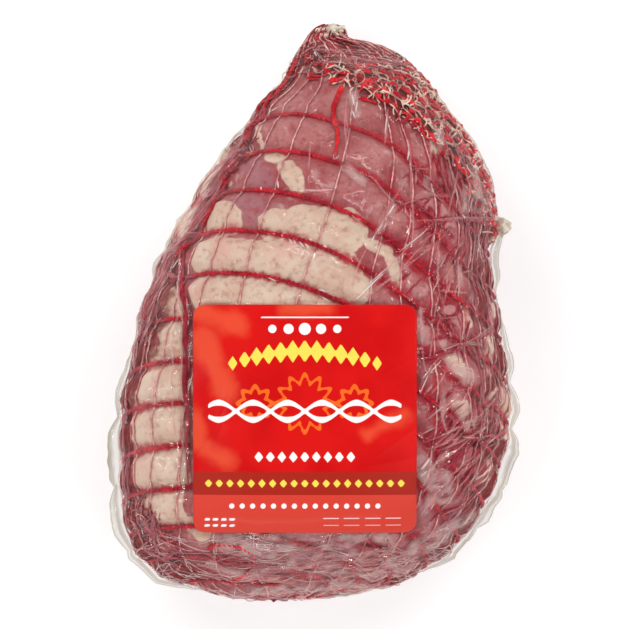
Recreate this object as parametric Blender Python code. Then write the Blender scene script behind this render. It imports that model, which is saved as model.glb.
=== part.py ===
"""A raw boneless half leg of lamb, rolled in elastic netting and shrink-packed in a clear bag.

The pack lies on its back on a flat spot, label up. X runs across it, Y along it towards the
gathered tail of the netting, and Z up. The tables and sizes below are in millimetres.
"""

import bpy
import numpy as np

MM = 0.001

# Stations of the pack from the tail to the blunt end: place along Y, left edge, right edge,
# crown height, and height of the widest line.
STATIONS = np.array((
    (113.1, 6.6, 6.6, 20.0, 20.0),
    (111.6, 1.6, 11.7, 25.5, 20.0),
    (108.0, -1.6, 13.3, 29.0, 20.0),
    (105.3, -3.5, 24.5, 32.0, 20.0),
    (101.9, -5.3, 31.0, 36.0, 20.0),
    (96.5, -7.8, 37.0, 42.0, 21.0),
    (89.5, -12.5, 43.3, 49.0, 22.0),
    (79.4, -23.0, 50.7, 57.0, 24.0),
    (65.7, -33.5, 60.8, 66.0, 25.0),
    (50.1, -44.5, 67.5, 74.0, 27.0),
    (34.5, -53.0, 70.0, 80.0, 28.0),
    (17.0, -61.2, 70.5, 84.0, 29.0),
    (-2.5, -67.5, 73.5, 86.0, 30.0),
    (-22.0, -72.5, 76.5, 86.5, 30.0),
    (-41.5, -75.0, 77.0, 85.5, 30.0),
    (-61.0, -75.8, 74.0, 83.0, 30.0),
    (-78.6, -75.0, 66.0, 78.0, 30.0),
    (-91.5, -71.5, 56.5, 69.0, 29.0),
    (-101.2, -63.0, 43.5, 57.0, 28.0),
    (-107.8, -47.5, 28.0, 46.0, 26.0),
    (-111.7, -32.0, 8.5, 36.0, 25.0),
    (-113.3, -15.5, -15.5, 24.0, 24.0),
))
Y, LEFT, RIGHT, CROWN, WAIST = range(5)

# Sections are rounded rectangles of this power, evened out on a usual section's half width and height.
ROUNDNESS = 2.5
USUAL_HALF_WIDTH = 78.0
USUAL_HEIGHT = 56.0
BELLY_SHARE = 1.12

# Netting: ring cords round the roll and lengthwise threads.
CORD_PITCH = 16.8
CORD_PHASE = 12.6
CORD_GROOVE = 1.9
CORD_DEPTH = 2.2
CORD_RIDGE = 0.7
THREADS = 22
THREAD_DEPTH = 0.9
THREAD_REACH = 0.35
PILLOW_START = 0.36
PILLOW_TOP = 0.42
PILLOW_COLUMNS = 3
CORD_DROP = 56.0
DROP_FROM = 0.34
DROP_POWER = 1.7
DROP_EASE = 0.5
THREAD_LEAN = 0.13
LEAN_CENTRE = 0.45
END_FADE = 14.0
END_ROWS = (0.35, 0.7)

# Netting bunched up over the upper right shoulder, above a line across the pack.
BUNCH_FOOT = np.array((-6.0, 87.0))
BUNCH_NORMAL = np.array((0.427, 0.904))
BUNCH_HEIGHT = 1.9
BUNCH_KNOT = 1.5
BUNCH_EDGE = 5.0

# The long fold left of the label, where one muscle lies over the next.
FOLD_X = -49.5
FOLD_TOP = 14.0
FOLD_END = -82.0
FOLD_DEPTH = 4.2
FOLD_WIDTH = 4.0
FOLD_EASE = 16.0

# Bumps and the fold fade out between these heights, and bumps between these gaps to the label.
SIDE_LOW = 20.0
SIDE_HIGH = 32.0
LABEL_CLEAR = 5.0
LABEL_FREE = 13.0

# Bumps of muscle and fat: place, height and radius.
LUMPS = (
    (-8.0, 72.0, 2.6, 15.0),
    (22.0, 58.0, 2.2, 13.0),
    (48.0, 36.0, 2.8, 14.0),
    (-30.0, 44.0, 1.8, 14.0),
    (8.0, 28.0, 2.0, 16.0),
    (60.0, 2.0, 2.6, 13.0),
    (58.0, -30.0, 2.4, 12.0),
    (66.0, -46.0, 2.2, 9.0),
    (54.0, -66.0, 2.4, 12.0),
    (-62.0, 0.0, 1.6, 11.0),
    (-63.0, -36.0, 2.2, 14.0),
    (-58.0, -68.0, 1.8, 11.0),
    (-30.0, -97.0, 2.4, 12.0),
    (8.0, -101.0, -2.6, 8.0),
    (30.0, -93.0, 2.2, 11.0),
    (-34.0, 68.0, -2.0, 9.0),
    (36.0, 84.0, 2.2, 9.0),
)

# Film that stands off the meat along both edges: place along Y, width, and half its length.
LEFT_FILM = (
    (24.0, 2.2, 16.0),
    (-30.0, 2.6, 18.0),
    (-55.0, 5.2, 14.0),
    (-80.0, 5.6, 13.0),
    (-96.0, 3.0, 8.0),
)
RIGHT_FILM = (
    (34.0, 4.6, 3.5),
    (22.0, 3.0, 12.0),
    (-16.0, 2.6, 12.0),
    (-36.0, 3.4, 9.0),
    (-58.0, 5.0, 12.0),
)
FILM_ROOT = 0.0055
FILM_WAVE = 1.6
FILM_WAVE_PITCH = 11.0

# The label, on top of the bag.
LABEL_LEFT = -46.0
LABEL_RIGHT = 39.8
LABEL_TOP = 3.4
LABEL_BOTTOM = -84.2
LABEL_CORNER = 4.5
LABEL_GAP = 0.35
LABEL_THICK = 0.6
LABEL_STEPS = 14
LABEL_EASE = 1.35

DENSE = 600


def smoothstep(low, high, x):
    t = np.clip((x - low) / (high - low), 0.0, 1.0)
    return t * t * (3.0 - 2.0 * t)


def hermite(knots, values, at):
    """A smooth curve through the values, one row for each of the places asked for."""
    slopes = np.gradient(values, knots, axis=0)
    i = np.clip(np.searchsorted(knots, at, side="right") - 1, 0, len(knots) - 2)
    span = knots[i + 1] - knots[i]
    t = ((at - knots[i]) / span)[:, None]
    span = span[:, None]
    return (
        (2 * t**3 - 3 * t**2 + 1) * values[i]
        + (t**3 - 2 * t**2 + t) * span * slopes[i]
        + (3 * t**2 - 2 * t**3) * values[i + 1]
        + (t**3 - t**2) * span * slopes[i + 1]
    )


def dense_stations():
    """The stations as a fine table, and the length along the crown from the tail to each row."""
    steps = np.diff(STATIONS, axis=0)
    chords = np.sqrt(steps[:, Y] ** 2 + 0.5 * steps[:, LEFT] ** 2 + 0.5 * steps[:, RIGHT] ** 2)
    knots = np.concatenate(([0.0], np.cumsum(chords)))
    table = hermite(knots, STATIONS, np.linspace(0.0, knots[-1], DENSE))
    runs = np.hypot(np.diff(table[:, Y]), np.diff(table[:, CROWN]))
    return table, np.concatenate(([0.0], np.cumsum(runs)))


TABLE, LENGTHS = dense_stations()
LENGTH = LENGTHS[-1]


def at_length(m):
    """The five station values at these lengths along the crown."""
    return [np.interp(m, LENGTHS, TABLE[:, i]) for i in range(5)]


def even_angles():
    """Angles that space points evenly round the upper half of a usual section."""
    angle = np.linspace(np.pi, 0.0, DENSE)
    x = USUAL_HALF_WIDTH * np.sign(np.cos(angle)) * np.abs(np.cos(angle)) ** (2 / ROUNDNESS)
    z = USUAL_HEIGHT * np.abs(np.sin(angle)) ** (2 / ROUNDNESS)
    runs = np.concatenate(([0.0], np.cumsum(np.hypot(np.diff(x), np.diff(z)))))
    return runs / runs[-1], angle


SHARES, ANGLES = even_angles()


def bare_form(m, p):
    """Points of the pack without relief. p runs 0 to 1 over the top, left to right, and to 2 below."""
    y, left, right, crown, waist = at_length(m)
    over = p <= 1.0
    share = np.where(over, p, 2.0 - p)
    angle = np.interp(share, SHARES, ANGLES)
    across = np.sign(np.cos(angle)) * np.abs(np.cos(angle)) ** (2 / ROUNDNESS)
    up = np.abs(np.sin(angle)) ** (2 / ROUNDNESS)
    above = crown - waist
    below = np.minimum(BELLY_SHARE * waist, above)
    x = (left + right) / 2 + across * (right - left) / 2
    z = waist + np.where(over, above, -below) * up
    return np.stack((x, y, z), axis=-1)


def ends_fade(m, reach):
    """1 along the pack, easing to 0 at both ends."""
    return smoothstep(0.0, reach, m) * smoothstep(0.0, reach, LENGTH - m)


def cord_drop(m, p):
    """How far a ring cord has slid towards the blunt end, where the net is pulled over the shoulder."""
    over = np.clip((p - DROP_FROM) / (1.0 - DROP_FROM), 0.0, 1.0) ** DROP_POWER
    back = 1.0 - smoothstep(1.0, 2.0, p)
    return CORD_DROP * np.where(p <= 1.0, over, back) * ends_fade(m, DROP_EASE * LENGTH)


def thread_lean(m, p):
    """How far a lengthwise thread has swung sideways on the top of the pack."""
    over = np.where(p <= 1.0, np.sin(np.pi * np.clip(p, 0.0, 1.0)) ** 2, 0.0)
    return -THREAD_LEAN * over * np.clip(m / (LEAN_CENTRE * LENGTH) - 1.0, -1.0, 1.0)


def bunch_reach(x, y):
    """How far a place lies inside the bunched netting, in millimetres."""
    return (x - BUNCH_FOOT[0]) * BUNCH_NORMAL[0] + (y - BUNCH_FOOT[1]) * BUNCH_NORMAL[1]


def lumps(x, y, z):
    """Height of the soft bumps on the upper half, none of them under the label."""
    total = np.zeros_like(x)
    for lump_x, lump_y, height, radius in LUMPS:
        total += height * np.exp(-((x - lump_x) ** 2 + (y - lump_y) ** 2) / radius**2)
    outside = np.maximum(
        np.maximum(LABEL_LEFT - x, x - LABEL_RIGHT),
        np.maximum(LABEL_BOTTOM - y, y - LABEL_TOP),
    )
    return total * smoothstep(LABEL_CLEAR, LABEL_FREE, outside) * smoothstep(SIDE_LOW, SIDE_HIGH, z)


def fold(x, y, z):
    """Depth of the long fold left of the label."""
    along = smoothstep(FOLD_END, FOLD_END + FOLD_EASE, y) * smoothstep(FOLD_TOP, FOLD_TOP - FOLD_EASE, y)
    side = np.exp(-(((x - FOLD_X) / FOLD_WIDTH) ** 2))
    return FOLD_DEPTH * side * along * smoothstep(SIDE_LOW, SIDE_HIGH, z)


def net_relief(from_cord, from_thread):
    """Relief of the net, never above the bare form, from the distance to the nearest cord and thread."""
    beside = np.clip(from_cord / CORD_GROOVE, 0.0, 1.0)
    pillow = smoothstep(CORD_GROOVE, PILLOW_TOP * CORD_PITCH, from_cord)
    groove = CORD_RIDGE + (CORD_DEPTH - CORD_RIDGE) * beside
    depth = groove * (1.0 - pillow)
    thread = THREAD_DEPTH * (1.0 - smoothstep(0.0, THREAD_REACH, from_thread))
    return -np.maximum(depth, thread * np.maximum(beside, CORD_RIDGE / CORD_DEPTH))


def bunch_relief(x, y, m, p):
    """Knots of the bunched netting, which stand out of the pack over the shoulder."""
    inside = smoothstep(0.0, BUNCH_EDGE, bunch_reach(x, y))
    waves = np.cos(4 * np.pi * (m - CORD_PHASE) / CORD_PITCH) * np.cos(np.pi * p * THREADS)
    return inside * (BUNCH_HEIGHT + BUNCH_KNOT * waves)


def film_width(y, parts):
    """How far the free film reaches past the meat at these places along Y."""
    total = np.zeros_like(y)
    for place, width, reach in parts:
        total = np.maximum(total, width * np.exp(-(((y - place) / reach) ** 4)))
    return total


def rows_of_net():
    """Lengths of the mesh rows: each cord has its ridge, a groove on both sides and a pillow between."""
    rows = [share * CORD_PHASE for share in END_ROWS]
    for cord in np.arange(CORD_PHASE, LENGTH, CORD_PITCH):
        rows += [cord - CORD_GROOVE, cord, cord + CORD_GROOVE]
        rows += [cord + PILLOW_START * CORD_PITCH, cord + (1.0 - PILLOW_START) * CORD_PITCH]
    return np.array([m for m in rows if m < LENGTH - CORD_GROOVE])


def columns_of_net():
    """Places of the mesh columns round the pack, with a close pair at each edge for the film's root."""
    step = 2.0 / (THREADS * PILLOW_COLUMNS)
    columns = list(np.arange(THREADS * PILLOW_COLUMNS) * step)
    columns += [FILM_ROOT, 1.0 - FILM_ROOT, 1.0 + FILM_ROOT, 2.0 - FILM_ROOT]
    return np.array(sorted(columns))


def grid_normals(points):
    """Outward normals of a grid of points that closes round its columns."""
    around = np.roll(points, -1, axis=1) - np.roll(points, 1, axis=1)
    along = np.gradient(points, axis=0)
    normal = np.cross(around, along)
    size = np.linalg.norm(normal, axis=-1, keepdims=True)
    return -normal / np.maximum(size, 1e-9)


def pack_points():
    """The grid of the pack's surface points with all relief, rows from the tail to the blunt end."""
    rows = rows_of_net()
    columns = columns_of_net()
    m0, p0 = np.meshgrid(rows, columns, indexing="ij")
    m = m0 + cord_drop(m0, p0)
    p = (p0 + thread_lean(m0, p0)) % 2.0
    points = bare_form(m, p)
    normals = grid_normals(points)
    x, y, z = points[..., 0], points[..., 1], points[..., 2]

    from_cord = np.abs((m0 - CORD_PHASE + CORD_PITCH / 2) % CORD_PITCH - CORD_PITCH / 2)
    from_thread = np.abs((p0 * THREADS / 2 + 0.5) % 1.0 - 0.5)
    bunched = smoothstep(-BUNCH_EDGE, BUNCH_EDGE, bunch_reach(x, y))
    fade = ends_fade(m0, END_FADE)
    spread = np.clip(np.gradient(m, rows, axis=0), 0.0, 1.0)
    relief = net_relief(from_cord, from_thread) * (1.0 - bunched) * spread
    relief += bunch_relief(x, y, m0, p0)
    relief += lumps(x, y, z) - fold(x, y, z)
    points = points + normals * (relief * fade)[..., None]

    left_edge = np.isclose(p0, 0.0)
    right_edge = np.isclose(p0, 1.0)
    wave = FILM_WAVE * np.sin(2 * np.pi * points[..., 1] / FILM_WAVE_PITCH)
    points[..., 0] -= np.where(left_edge, film_width(points[..., 1], LEFT_FILM), 0.0)
    points[..., 0] += np.where(right_edge, film_width(points[..., 1], RIGHT_FILM), 0.0)
    points[..., 2] += np.where(left_edge | right_edge, wave, 0.0)
    points[..., 2] = np.maximum(points[..., 2], 0.0)
    return points


def add_object(name, vertices, faces, material):
    """A mesh object in the scene, from vertices in millimetres."""
    mesh = bpy.data.meshes.new(name)
    mesh.from_pydata([tuple(v) for v in np.asarray(vertices) * MM], [], faces)
    mesh.validate()
    mesh.materials.append(material)
    mesh.shade_smooth()
    obj = bpy.data.objects.new(name, mesh)
    bpy.context.scene.collection.objects.link(obj)
    return obj


def finish(name, colour, roughness, coat):
    """A material with this colour and gloss."""
    material = bpy.data.materials.new(name)
    material.use_nodes = True
    shader = material.node_tree.nodes["Principled BSDF"]
    shader.inputs["Base Color"].default_value = (*colour, 1.0)
    shader.inputs["Roughness"].default_value = roughness
    shader.inputs["Metallic"].default_value = 0.0
    shader.inputs["Coat Weight"].default_value = coat
    return material


def build_pack():
    """The sealed bag with the netted meat inside, as one closed solid."""
    grid = pack_points()
    rows, columns = grid.shape[:2]
    tail = np.array((STATIONS[0, LEFT], STATIONS[0, Y], STATIONS[0, WAIST]))
    blunt = np.array((STATIONS[-1, LEFT], STATIONS[-1, Y], STATIONS[-1, WAIST]))
    vertices = np.concatenate((grid.reshape(-1, 3), [tail, blunt]))
    faces = []
    for i in range(rows - 1):
        for j in range(columns):
            k = (j + 1) % columns
            faces.append((i * columns + j, (i + 1) * columns + j, (i + 1) * columns + k, i * columns + k))
    tail_index = rows * columns
    last = (rows - 1) * columns
    for j in range(columns):
        k = (j + 1) % columns
        faces.append((tail_index, j, k))
        faces.append((last + k, last + j, tail_index + 1))
    meat = finish("film_over_netted_meat", (0.42, 0.13, 0.13), 0.22, 1.0)
    return add_object("lamb_pack", vertices, faces, meat)


def top_height(x, y):
    """Height of the bare form's top at these places."""
    order = np.argsort(TABLE[:, Y])
    left, right, crown, waist = (np.interp(y, TABLE[order, Y], TABLE[order, i]) for i in (1, 2, 3, 4))
    across = np.abs((x - (left + right) / 2) / ((right - left) / 2))
    up = np.maximum(1.0 - across**ROUNDNESS, 0.0) ** (1 / ROUNDNESS)
    return waist + (crown - waist) * up


def build_label():
    """The printed label: a thin sheet with round corners, curved to lie on the pack."""
    ease = np.sin(np.linspace(-LABEL_EASE, LABEL_EASE, LABEL_STEPS + 1)) / np.sin(LABEL_EASE)
    middle = np.array(((LABEL_LEFT + LABEL_RIGHT) / 2, (LABEL_TOP + LABEL_BOTTOM) / 2))
    half = np.array(((LABEL_RIGHT - LABEL_LEFT) / 2, (LABEL_TOP - LABEL_BOTTOM) / 2))
    v, u = np.meshgrid(ease, ease, indexing="ij")
    x = half[0] * u
    y = half[1] * v
    over = np.stack((np.abs(x) - (half[0] - LABEL_CORNER), np.abs(y) - (half[1] - LABEL_CORNER)))
    corner = over.min(axis=0) > 0
    reach = np.maximum(np.hypot(*np.maximum(over, 0.0)), LABEL_CORNER)
    squeeze = LABEL_CORNER / reach
    x = np.where(corner, np.sign(x) * (half[0] - LABEL_CORNER + over[0] * squeeze), x) + middle[0]
    y = np.where(corner, np.sign(y) * (half[1] - LABEL_CORNER + over[1] * squeeze), y) + middle[1]
    low = top_height(x, y) + LABEL_GAP
    under = np.stack((x, y, low), axis=-1).reshape(-1, 3)
    top = under + (0.0, 0.0, LABEL_THICK)
    n = LABEL_STEPS + 1
    faces = []
    for i in range(n - 1):
        for j in range(n - 1):
            a, b, c, d = i * n + j, i * n + j + 1, (i + 1) * n + j + 1, (i + 1) * n + j
            faces.append((a, d, c, b))
            faces.append((a + n * n, b + n * n, c + n * n, d + n * n))
    rim = [j for j in range(n)] + [i * n + n - 1 for i in range(1, n)]
    rim += [(n - 1) * n + j for j in range(n - 2, -1, -1)] + [i * n for i in range(n - 2, 0, -1)]
    for a, b in zip(rim, rim[1:] + rim[:1]):
        faces.append((a, b, b + n * n, a + n * n))
    paper = finish("printed_label", (0.78, 0.02, 0.015), 0.3, 0.6)
    return add_object("label", np.concatenate((under, top)), faces, paper)


def main():
    for obj in list(bpy.data.objects):
        bpy.data.objects.remove(obj, do_unlink=True)
    build_pack()
    build_label()


main()
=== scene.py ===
"""A raw boneless half leg of lamb in red elastic netting, shrink-packed in clear film with a red label.

Sizes and places are in millimetres in the frame's own axes: X across the pack, Y towards the gathered
tail of the netting, Z up. On the pack's skin, m is the length along the crown from the tail, and the
share p runs from 0 at the left edge over the top to 1 at the right edge, and on below to 2.
"""

import copy
import math

import bpy
import numpy as np
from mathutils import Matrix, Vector


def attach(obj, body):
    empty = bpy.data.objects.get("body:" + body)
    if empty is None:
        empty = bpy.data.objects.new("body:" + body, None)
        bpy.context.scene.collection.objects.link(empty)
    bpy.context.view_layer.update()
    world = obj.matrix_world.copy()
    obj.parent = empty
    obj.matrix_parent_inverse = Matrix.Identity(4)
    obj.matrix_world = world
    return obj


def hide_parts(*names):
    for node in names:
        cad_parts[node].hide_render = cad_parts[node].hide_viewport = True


MM = 0.001

# Stations of the pack from the tail to the blunt end: place along Y, left edge, right edge,
# crown height, and height of the widest line.
STATIONS = np.array((
    (113.1, 6.6, 6.6, 20.0, 20.0),
    (111.6, 1.6, 11.7, 25.5, 20.0),
    (108.0, -1.6, 13.3, 29.0, 20.0),
    (105.3, -3.5, 24.5, 32.0, 20.0),
    (101.9, -5.3, 31.0, 36.0, 20.0),
    (96.5, -7.8, 37.0, 42.0, 21.0),
    (89.5, -12.5, 43.3, 49.0, 22.0),
    (79.4, -23.0, 50.7, 57.0, 24.0),
    (65.7, -33.5, 60.8, 66.0, 25.0),
    (50.1, -44.5, 67.5, 74.0, 27.0),
    (34.5, -53.0, 70.0, 80.0, 28.0),
    (17.0, -61.2, 70.5, 84.0, 29.0),
    (-2.5, -67.5, 73.5, 86.0, 30.0),
    (-22.0, -72.5, 76.5, 86.5, 30.0),
    (-41.5, -75.0, 77.0, 85.5, 30.0),
    (-61.0, -75.8, 74.0, 83.0, 30.0),
    (-78.6, -75.0, 66.0, 78.0, 30.0),
    (-91.5, -71.5, 56.5, 69.0, 29.0),
    (-101.2, -63.0, 43.5, 57.0, 28.0),
    (-107.8, -47.5, 28.0, 46.0, 26.0),
    (-111.7, -32.0, 8.5, 36.0, 25.0),
    (-113.3, -15.5, -15.5, 24.0, 24.0),
))
Y, LEFT, RIGHT, CROWN, WAIST = range(5)
ROUNDNESS = 2.5
USUAL_HALF_WIDTH = 78.0
USUAL_HEIGHT = 56.0
BELLY_SHARE = 1.12
DENSE = 600

# The skin's own grid of rows along the pack and columns round it.
ROWS = 400
COLUMNS = 720
MEAT_ROWS = 270
COARSE = 2

# Netting: ring cords at an even pitch, which slide towards the blunt end on the right, by this much
# at each share round the pack.
CORD_FIRST = 53.5
CORD_PITCH = 16.75
CORD_COUNT = 14
CORD_SLIDE = np.array((
    (0.00, 7.0), (0.10, 4.0), (0.20, 1.0), (0.30, 0.0), (0.40, 2.5), (0.50, 8.5), (0.60, 17.5),
    (0.70, 31.0), (0.80, 46.5), (0.90, 56.0), (1.00, 60.0), (1.20, 57.0), (1.60, 30.0), (2.00, 7.0),
))
SLIDE_EASE = 110.0
GROOVE_DEPTH = 2.2
GROOVE_WIDTH = 1.3
PILLOW_REACH = 6.0
CORD_RADIUS = 0.52
CORD_TWIST = 3.8
CORD_LIFT = 0.85

# Lengthwise threads, by their share round the pack where m is THREAD_START.
THREAD_SHARES = (
    0.06, 0.138, 0.19, 0.25, 0.337, 0.487, 0.618, 0.672, 0.728, 0.788, 0.83, 0.88, 0.94,
    1.04, 1.13, 1.24, 1.37, 1.50, 1.63, 1.76, 1.88,
)
THREAD_START = 85.0
THREAD_LEAN = 0.08
LEAN_CENTRE = 0.53
LEAN_WIDTH = 0.13
THREAD_DEPTH = 0.9
THREAD_REACH = 3.2
THREAD_RADIUS = 0.22
THREAD_TWIST = 5.0

# Steps along a strand, clear length at the blunt end, and how many strands and fibres.
CORD_STEP = 0.95
THREAD_STEP = 1.25
FINE_STEP = 0.7
CORD_CLEAR = 9.0
TAIL_STRANDS = 26
END_FIBRES = 90
BLOOD_LINES = 260
LOWEST_CORD = 0.4

# Where the net is bunched over the upper right shoulder: beyond a line through these places.
BUNCH_EDGE = np.array((
    (-40.0, 100.0), (-5.0, 93.5), (5.0, 92.5), (12.5, 90.0), (20.0, 84.0), (28.0, 78.0), (34.0, 76.0),
    (44.0, 68.0), (53.0, 58.0), (64.0, 41.0), (69.0, 31.0), (82.0, 22.0),
))
BUNCH_SLOPE = 0.75
BUNCH_HEIGHT = 0.9
BUNCH_LOW = 0.26
BUNCH_HIGH = 1.3
BUNCH_PITCH = 4.3
BUNCH_KNOT = 6.6
BUNCH_ZIGZAG = 1.3
BUNCH_STEP = 0.05
BUNCH_TOP = 95.5
BUNCH_START = 7.0
BUNCH_LAST_RING = 66.0
BUNCH_STOP = 70.0
TUFTS = 110

# The long fold left of the label, where one muscle lies over the next.
FOLD_X = -49.0
FOLD_TOP = 14.0
FOLD_END = -72.0
FOLD_DEPTH = 4.6
FOLD_WIDTH = 2.6
FOLD_EASE = 16.0
SIDE_LOW = 20.0
SIDE_HIGH = 32.0

# Bumps of muscle and fat: place, height and radius.
LUMPS = (
    (-8.0, 72.0, 2.4, 15.0),
    (22.0, 58.0, 2.0, 13.0),
    (48.0, 36.0, 2.6, 14.0),
    (-30.0, 44.0, 1.6, 14.0),
    (8.0, 28.0, 1.8, 16.0),
    (60.0, 2.0, 2.4, 13.0),
    (58.0, -30.0, 2.2, 12.0),
    (66.0, -46.0, 2.0, 9.0),
    (54.0, -66.0, 2.2, 12.0),
    (-62.0, 0.0, 1.4, 11.0),
    (-63.0, -36.0, 2.0, 14.0),
    (-58.0, -68.0, 1.6, 11.0),
    (-30.0, -97.0, 2.2, 12.0),
    (8.0, -101.0, -2.6, 8.0),
    (30.0, -93.0, 2.0, 11.0),
    (-34.0, 68.0, -2.0, 9.0),
    (36.0, 84.0, 2.0, 9.0),
)

# Fat on the top: strokes from one place to another, with a half width.
FAT = (
    (-3.0, 33.0, 12.0, 32.0, 9.3),
    (-38.0, 20.5, 10.0, 15.5, 9.6),
    (10.0, 15.0, 17.0, 9.5, 6.0),
    (-40.0, 8.0, 12.0, 6.5, 8.5),
    (-37.0, 36.5, -33.5, 37.0, 6.3),
    (-15.0, 34.0, -8.0, 33.0, 6.5),
    (-16.5, 61.5, -14.0, 60.5, 2.9),
    (-10.0, 56.0, -6.5, 50.5, 3.6),
    (-21.5, 73.0, -20.3, 66.0, 1.2),
    (22.0, 26.5, 28.5, 24.0, 2.5),
    (30.0, 20.5, 33.5, 12.0, 2.2),
    (58.8, 3.5, 59.2, -4.5, 1.7),
    (53.5, -19.5, 58.0, -23.5, 3.6),
    (56.5, -36.0, 59.0, -42.0, 3.0),
    (47.0, 68.0, 47.5, 64.0, 2.0),
    (38.5, 76.0, 43.0, 71.0, 1.6),
    (-57.5, 9.0, -53.5, 2.0, 4.0),
    (-56.5, -5.0, -53.5, -13.0, 4.4),
    (-59.5, -19.0, -54.0, -31.0, 6.3),
    (-65.0, -36.0, -55.0, -48.0, 7.0),
    (-65.0, -54.0, -56.0, -64.0, 7.0),
    (-62.0, -70.0, -54.0, -79.0, 5.2),
    (-61.0, -84.0, -58.5, -91.0, 3.2),
    (-48.5, -81.5, -42.5, -85.5, 3.0),
    (-33.0, 63.0, -43.5, 44.0, 2.6),
    (-43.5, 44.0, -55.0, 23.0, 3.2),
    (-54.5, -36.5, -54.0, -46.0, 4.6),
    (-53.5, -53.0, -53.0, -64.0, 4.4),
    (-54.0, -70.0, -53.0, -78.5, 3.8),
    (-66.0, -37.0, -66.0, -46.0, 4.0),
    (-33.6, 55.5, -34.4, 51.5, 2.4),
)

# Fat that shows through along the edges, as strokes.
EDGE_FAT = (
    (-34.0, 64.0, -37.8, 56.5, 1.6),
    (-37.8, 56.5, -42.5, 46.0, 2.4),
    (-42.5, 46.0, -49.9, 34.5, 3.0),
    (-49.9, 34.5, -55.6, 25.0, 2.6),
    (-61.5, -20.0, -64.5, -30.5, 3.0),
    (-67.0, -37.5, -67.0, -47.5, 3.4),
    (-67.0, -54.0, -66.5, -65.0, 3.4),
    (-46.8, 10.0, -46.8, -16.0, 1.0),
    (68.5, 2.0, 69.5, -22.0, 2.0),
    (72.5, -32.0, 76.5, -46.0, 3.6),
    (64.0, -66.0, 69.0, -58.0, 1.6),
)

# Dark red blood, lean edges and soaked net on the top, as strokes.
DARK = (
    (-5.0, 101.0, -14.0, 88.0, 4.0),
    (-14.0, 88.0, -27.0, 72.0, 2.8),
    (-27.0, 72.0, -32.5, 58.0, 4.2),
    (-32.5, 56.0, -39.0, 43.0, 1.6),
    (-39.0, 43.0, -50.0, 26.0, 1.9),
    (-50.0, 26.0, -58.0, 18.0, 2.4),
    (-62.0, 12.0, -69.5, -16.0, 5.4),
    (-70.0, -14.0, -74.0, -34.0, 4.4),
    (-74.5, -34.0, -75.5, -84.0, 4.2),
    (-71.0, -74.0, -69.5, -90.0, 4.2),
    (-66.0, -93.0, -46.0, -104.0, 4.2),
    (66.0, 2.0, 69.0, -8.0, 1.6),
    (74.0, -10.0, 76.5, -32.0, 1.8),
    (60.0, -47.0, 67.0, -51.0, 3.0),
    (58.0, -84.0, 63.0, -90.0, 1.8),
    (13.0, 106.0, 30.0, 99.0, 3.6),
    (-4.0, 99.0, 12.0, 95.0, 3.2),
    (48.0, 50.0, 69.0, 40.0, 1.4),
    (68.0, 52.0, 70.0, 34.0, 2.2),
    (67.0, 20.0, 68.0, 2.0, 2.0),
)

# Purple lean under thin silver skin, as strokes.
PURPLE = (
    (-26.0, 59.0, -19.0, 50.0, 4.5),
    (-27.0, 42.0, -15.0, 36.0, 6.0),
    (-25.0, -91.0, 12.0, -94.0, 7.0),
    (40.0, -62.0, 52.0, -80.0, 8.0),
)

# Whitish film that has let go of the meat, and whitish patches of painted glare on the film, as strokes.
HAZE_AND_GLARE = (
    (15.5, 85.0, 17.0, 78.0, 2.2),
    (31.0, 57.0, 36.0, 47.0, 2.2),
    (30.5, 40.5, 25.0, 31.0, 0.9),
    (42.0, -58.0, 50.0, -70.0, 4.0),
    (30.0, -97.0, 62.0, -80.0, 3.5),
    (-8.0, -97.0, 30.0, -92.0, 2.4),
    (53.0, -18.0, 59.0, -25.0, 3.4),
    (57.0, -36.0, 60.0, -43.0, 3.0),
    (-33.0, 63.0, -44.0, 44.0, 1.0),
    (-44.0, 44.0, -56.0, 22.0, 1.2),
    (61.0, 55.0, 63.0, 40.0, 1.8),
    (12.0, 57.0, 20.0, 50.0, 2.0),
    (-34.0, -88.0, -16.0, -92.0, 3.0),
    (-38.0, -86.5, 28.0, -87.0, 1.6),
    (13.8, -89.8, 22.4, -85.6, 2.0),
    (24.8, -87.5, 30.2, -90.0, 2.0),
    (19.0, -98.4, 29.2, -100.0, 1.8),
    (31.5, -99.5, 38.4, -97.2, 2.0),
    (44.0, -97.0, 52.0, -93.5, 1.4),
    (19.5, -93.8, 6.4, -96.0, 1.2),
    (-19.6, -99.5, 6.1, -96.6, 1.4),
    (-30.0, -109.0, 20.0, -108.0, 2.4),
    (-20.0, -91.0, 10.0, -91.0, 1.8),
    (0.0, -103.0, 24.0, -101.0, 2.0),
    (-40.0, -97.0, -22.0, -100.5, 1.4),
    (43.5, -76.0, 51.0, -62.0, 2.4),
    (50.0, -32.0, 51.0, -43.0, 1.0),
    (58.0, 48.0, 58.0, 40.0, 1.6),
    (52.5, 54.0, 52.5, 49.5, 1.6),
    (56.4, 18.0, 56.4, 10.5, 1.0),
    (59.5, 10.0, 59.8, 5.0, 0.9),
    (41.6, 1.0, 42.2, -10.0, 1.2),
    (44.0, 52.0, 45.0, 46.0, 1.6),
    (47.2, 69.0, 47.4, 63.0, 1.7),
)

# The label's edges, and how it lies over the film.
LABEL_LEFT = -46.0
LABEL_RIGHT = 39.8
LABEL_TOP = 3.4
LABEL_BOTTOM = -84.2
LABEL_CORNER = 4.5
LABEL_GAP = 0.4
LABEL_THICK = 0.35
LABEL_STEPS = 124

# How the film lies over the meat and the net, and how flat it stays under the label.
FILM_CLEARANCE = 0.2
FILM_ROUNDS = 140
FILM_PULL = 0.006
DEEPEST_CREASE = -0.35
HIGHEST_CREASE = 1.1
UNDER_LABEL = 0.1
BESIDE_LABEL = 9.0

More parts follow.
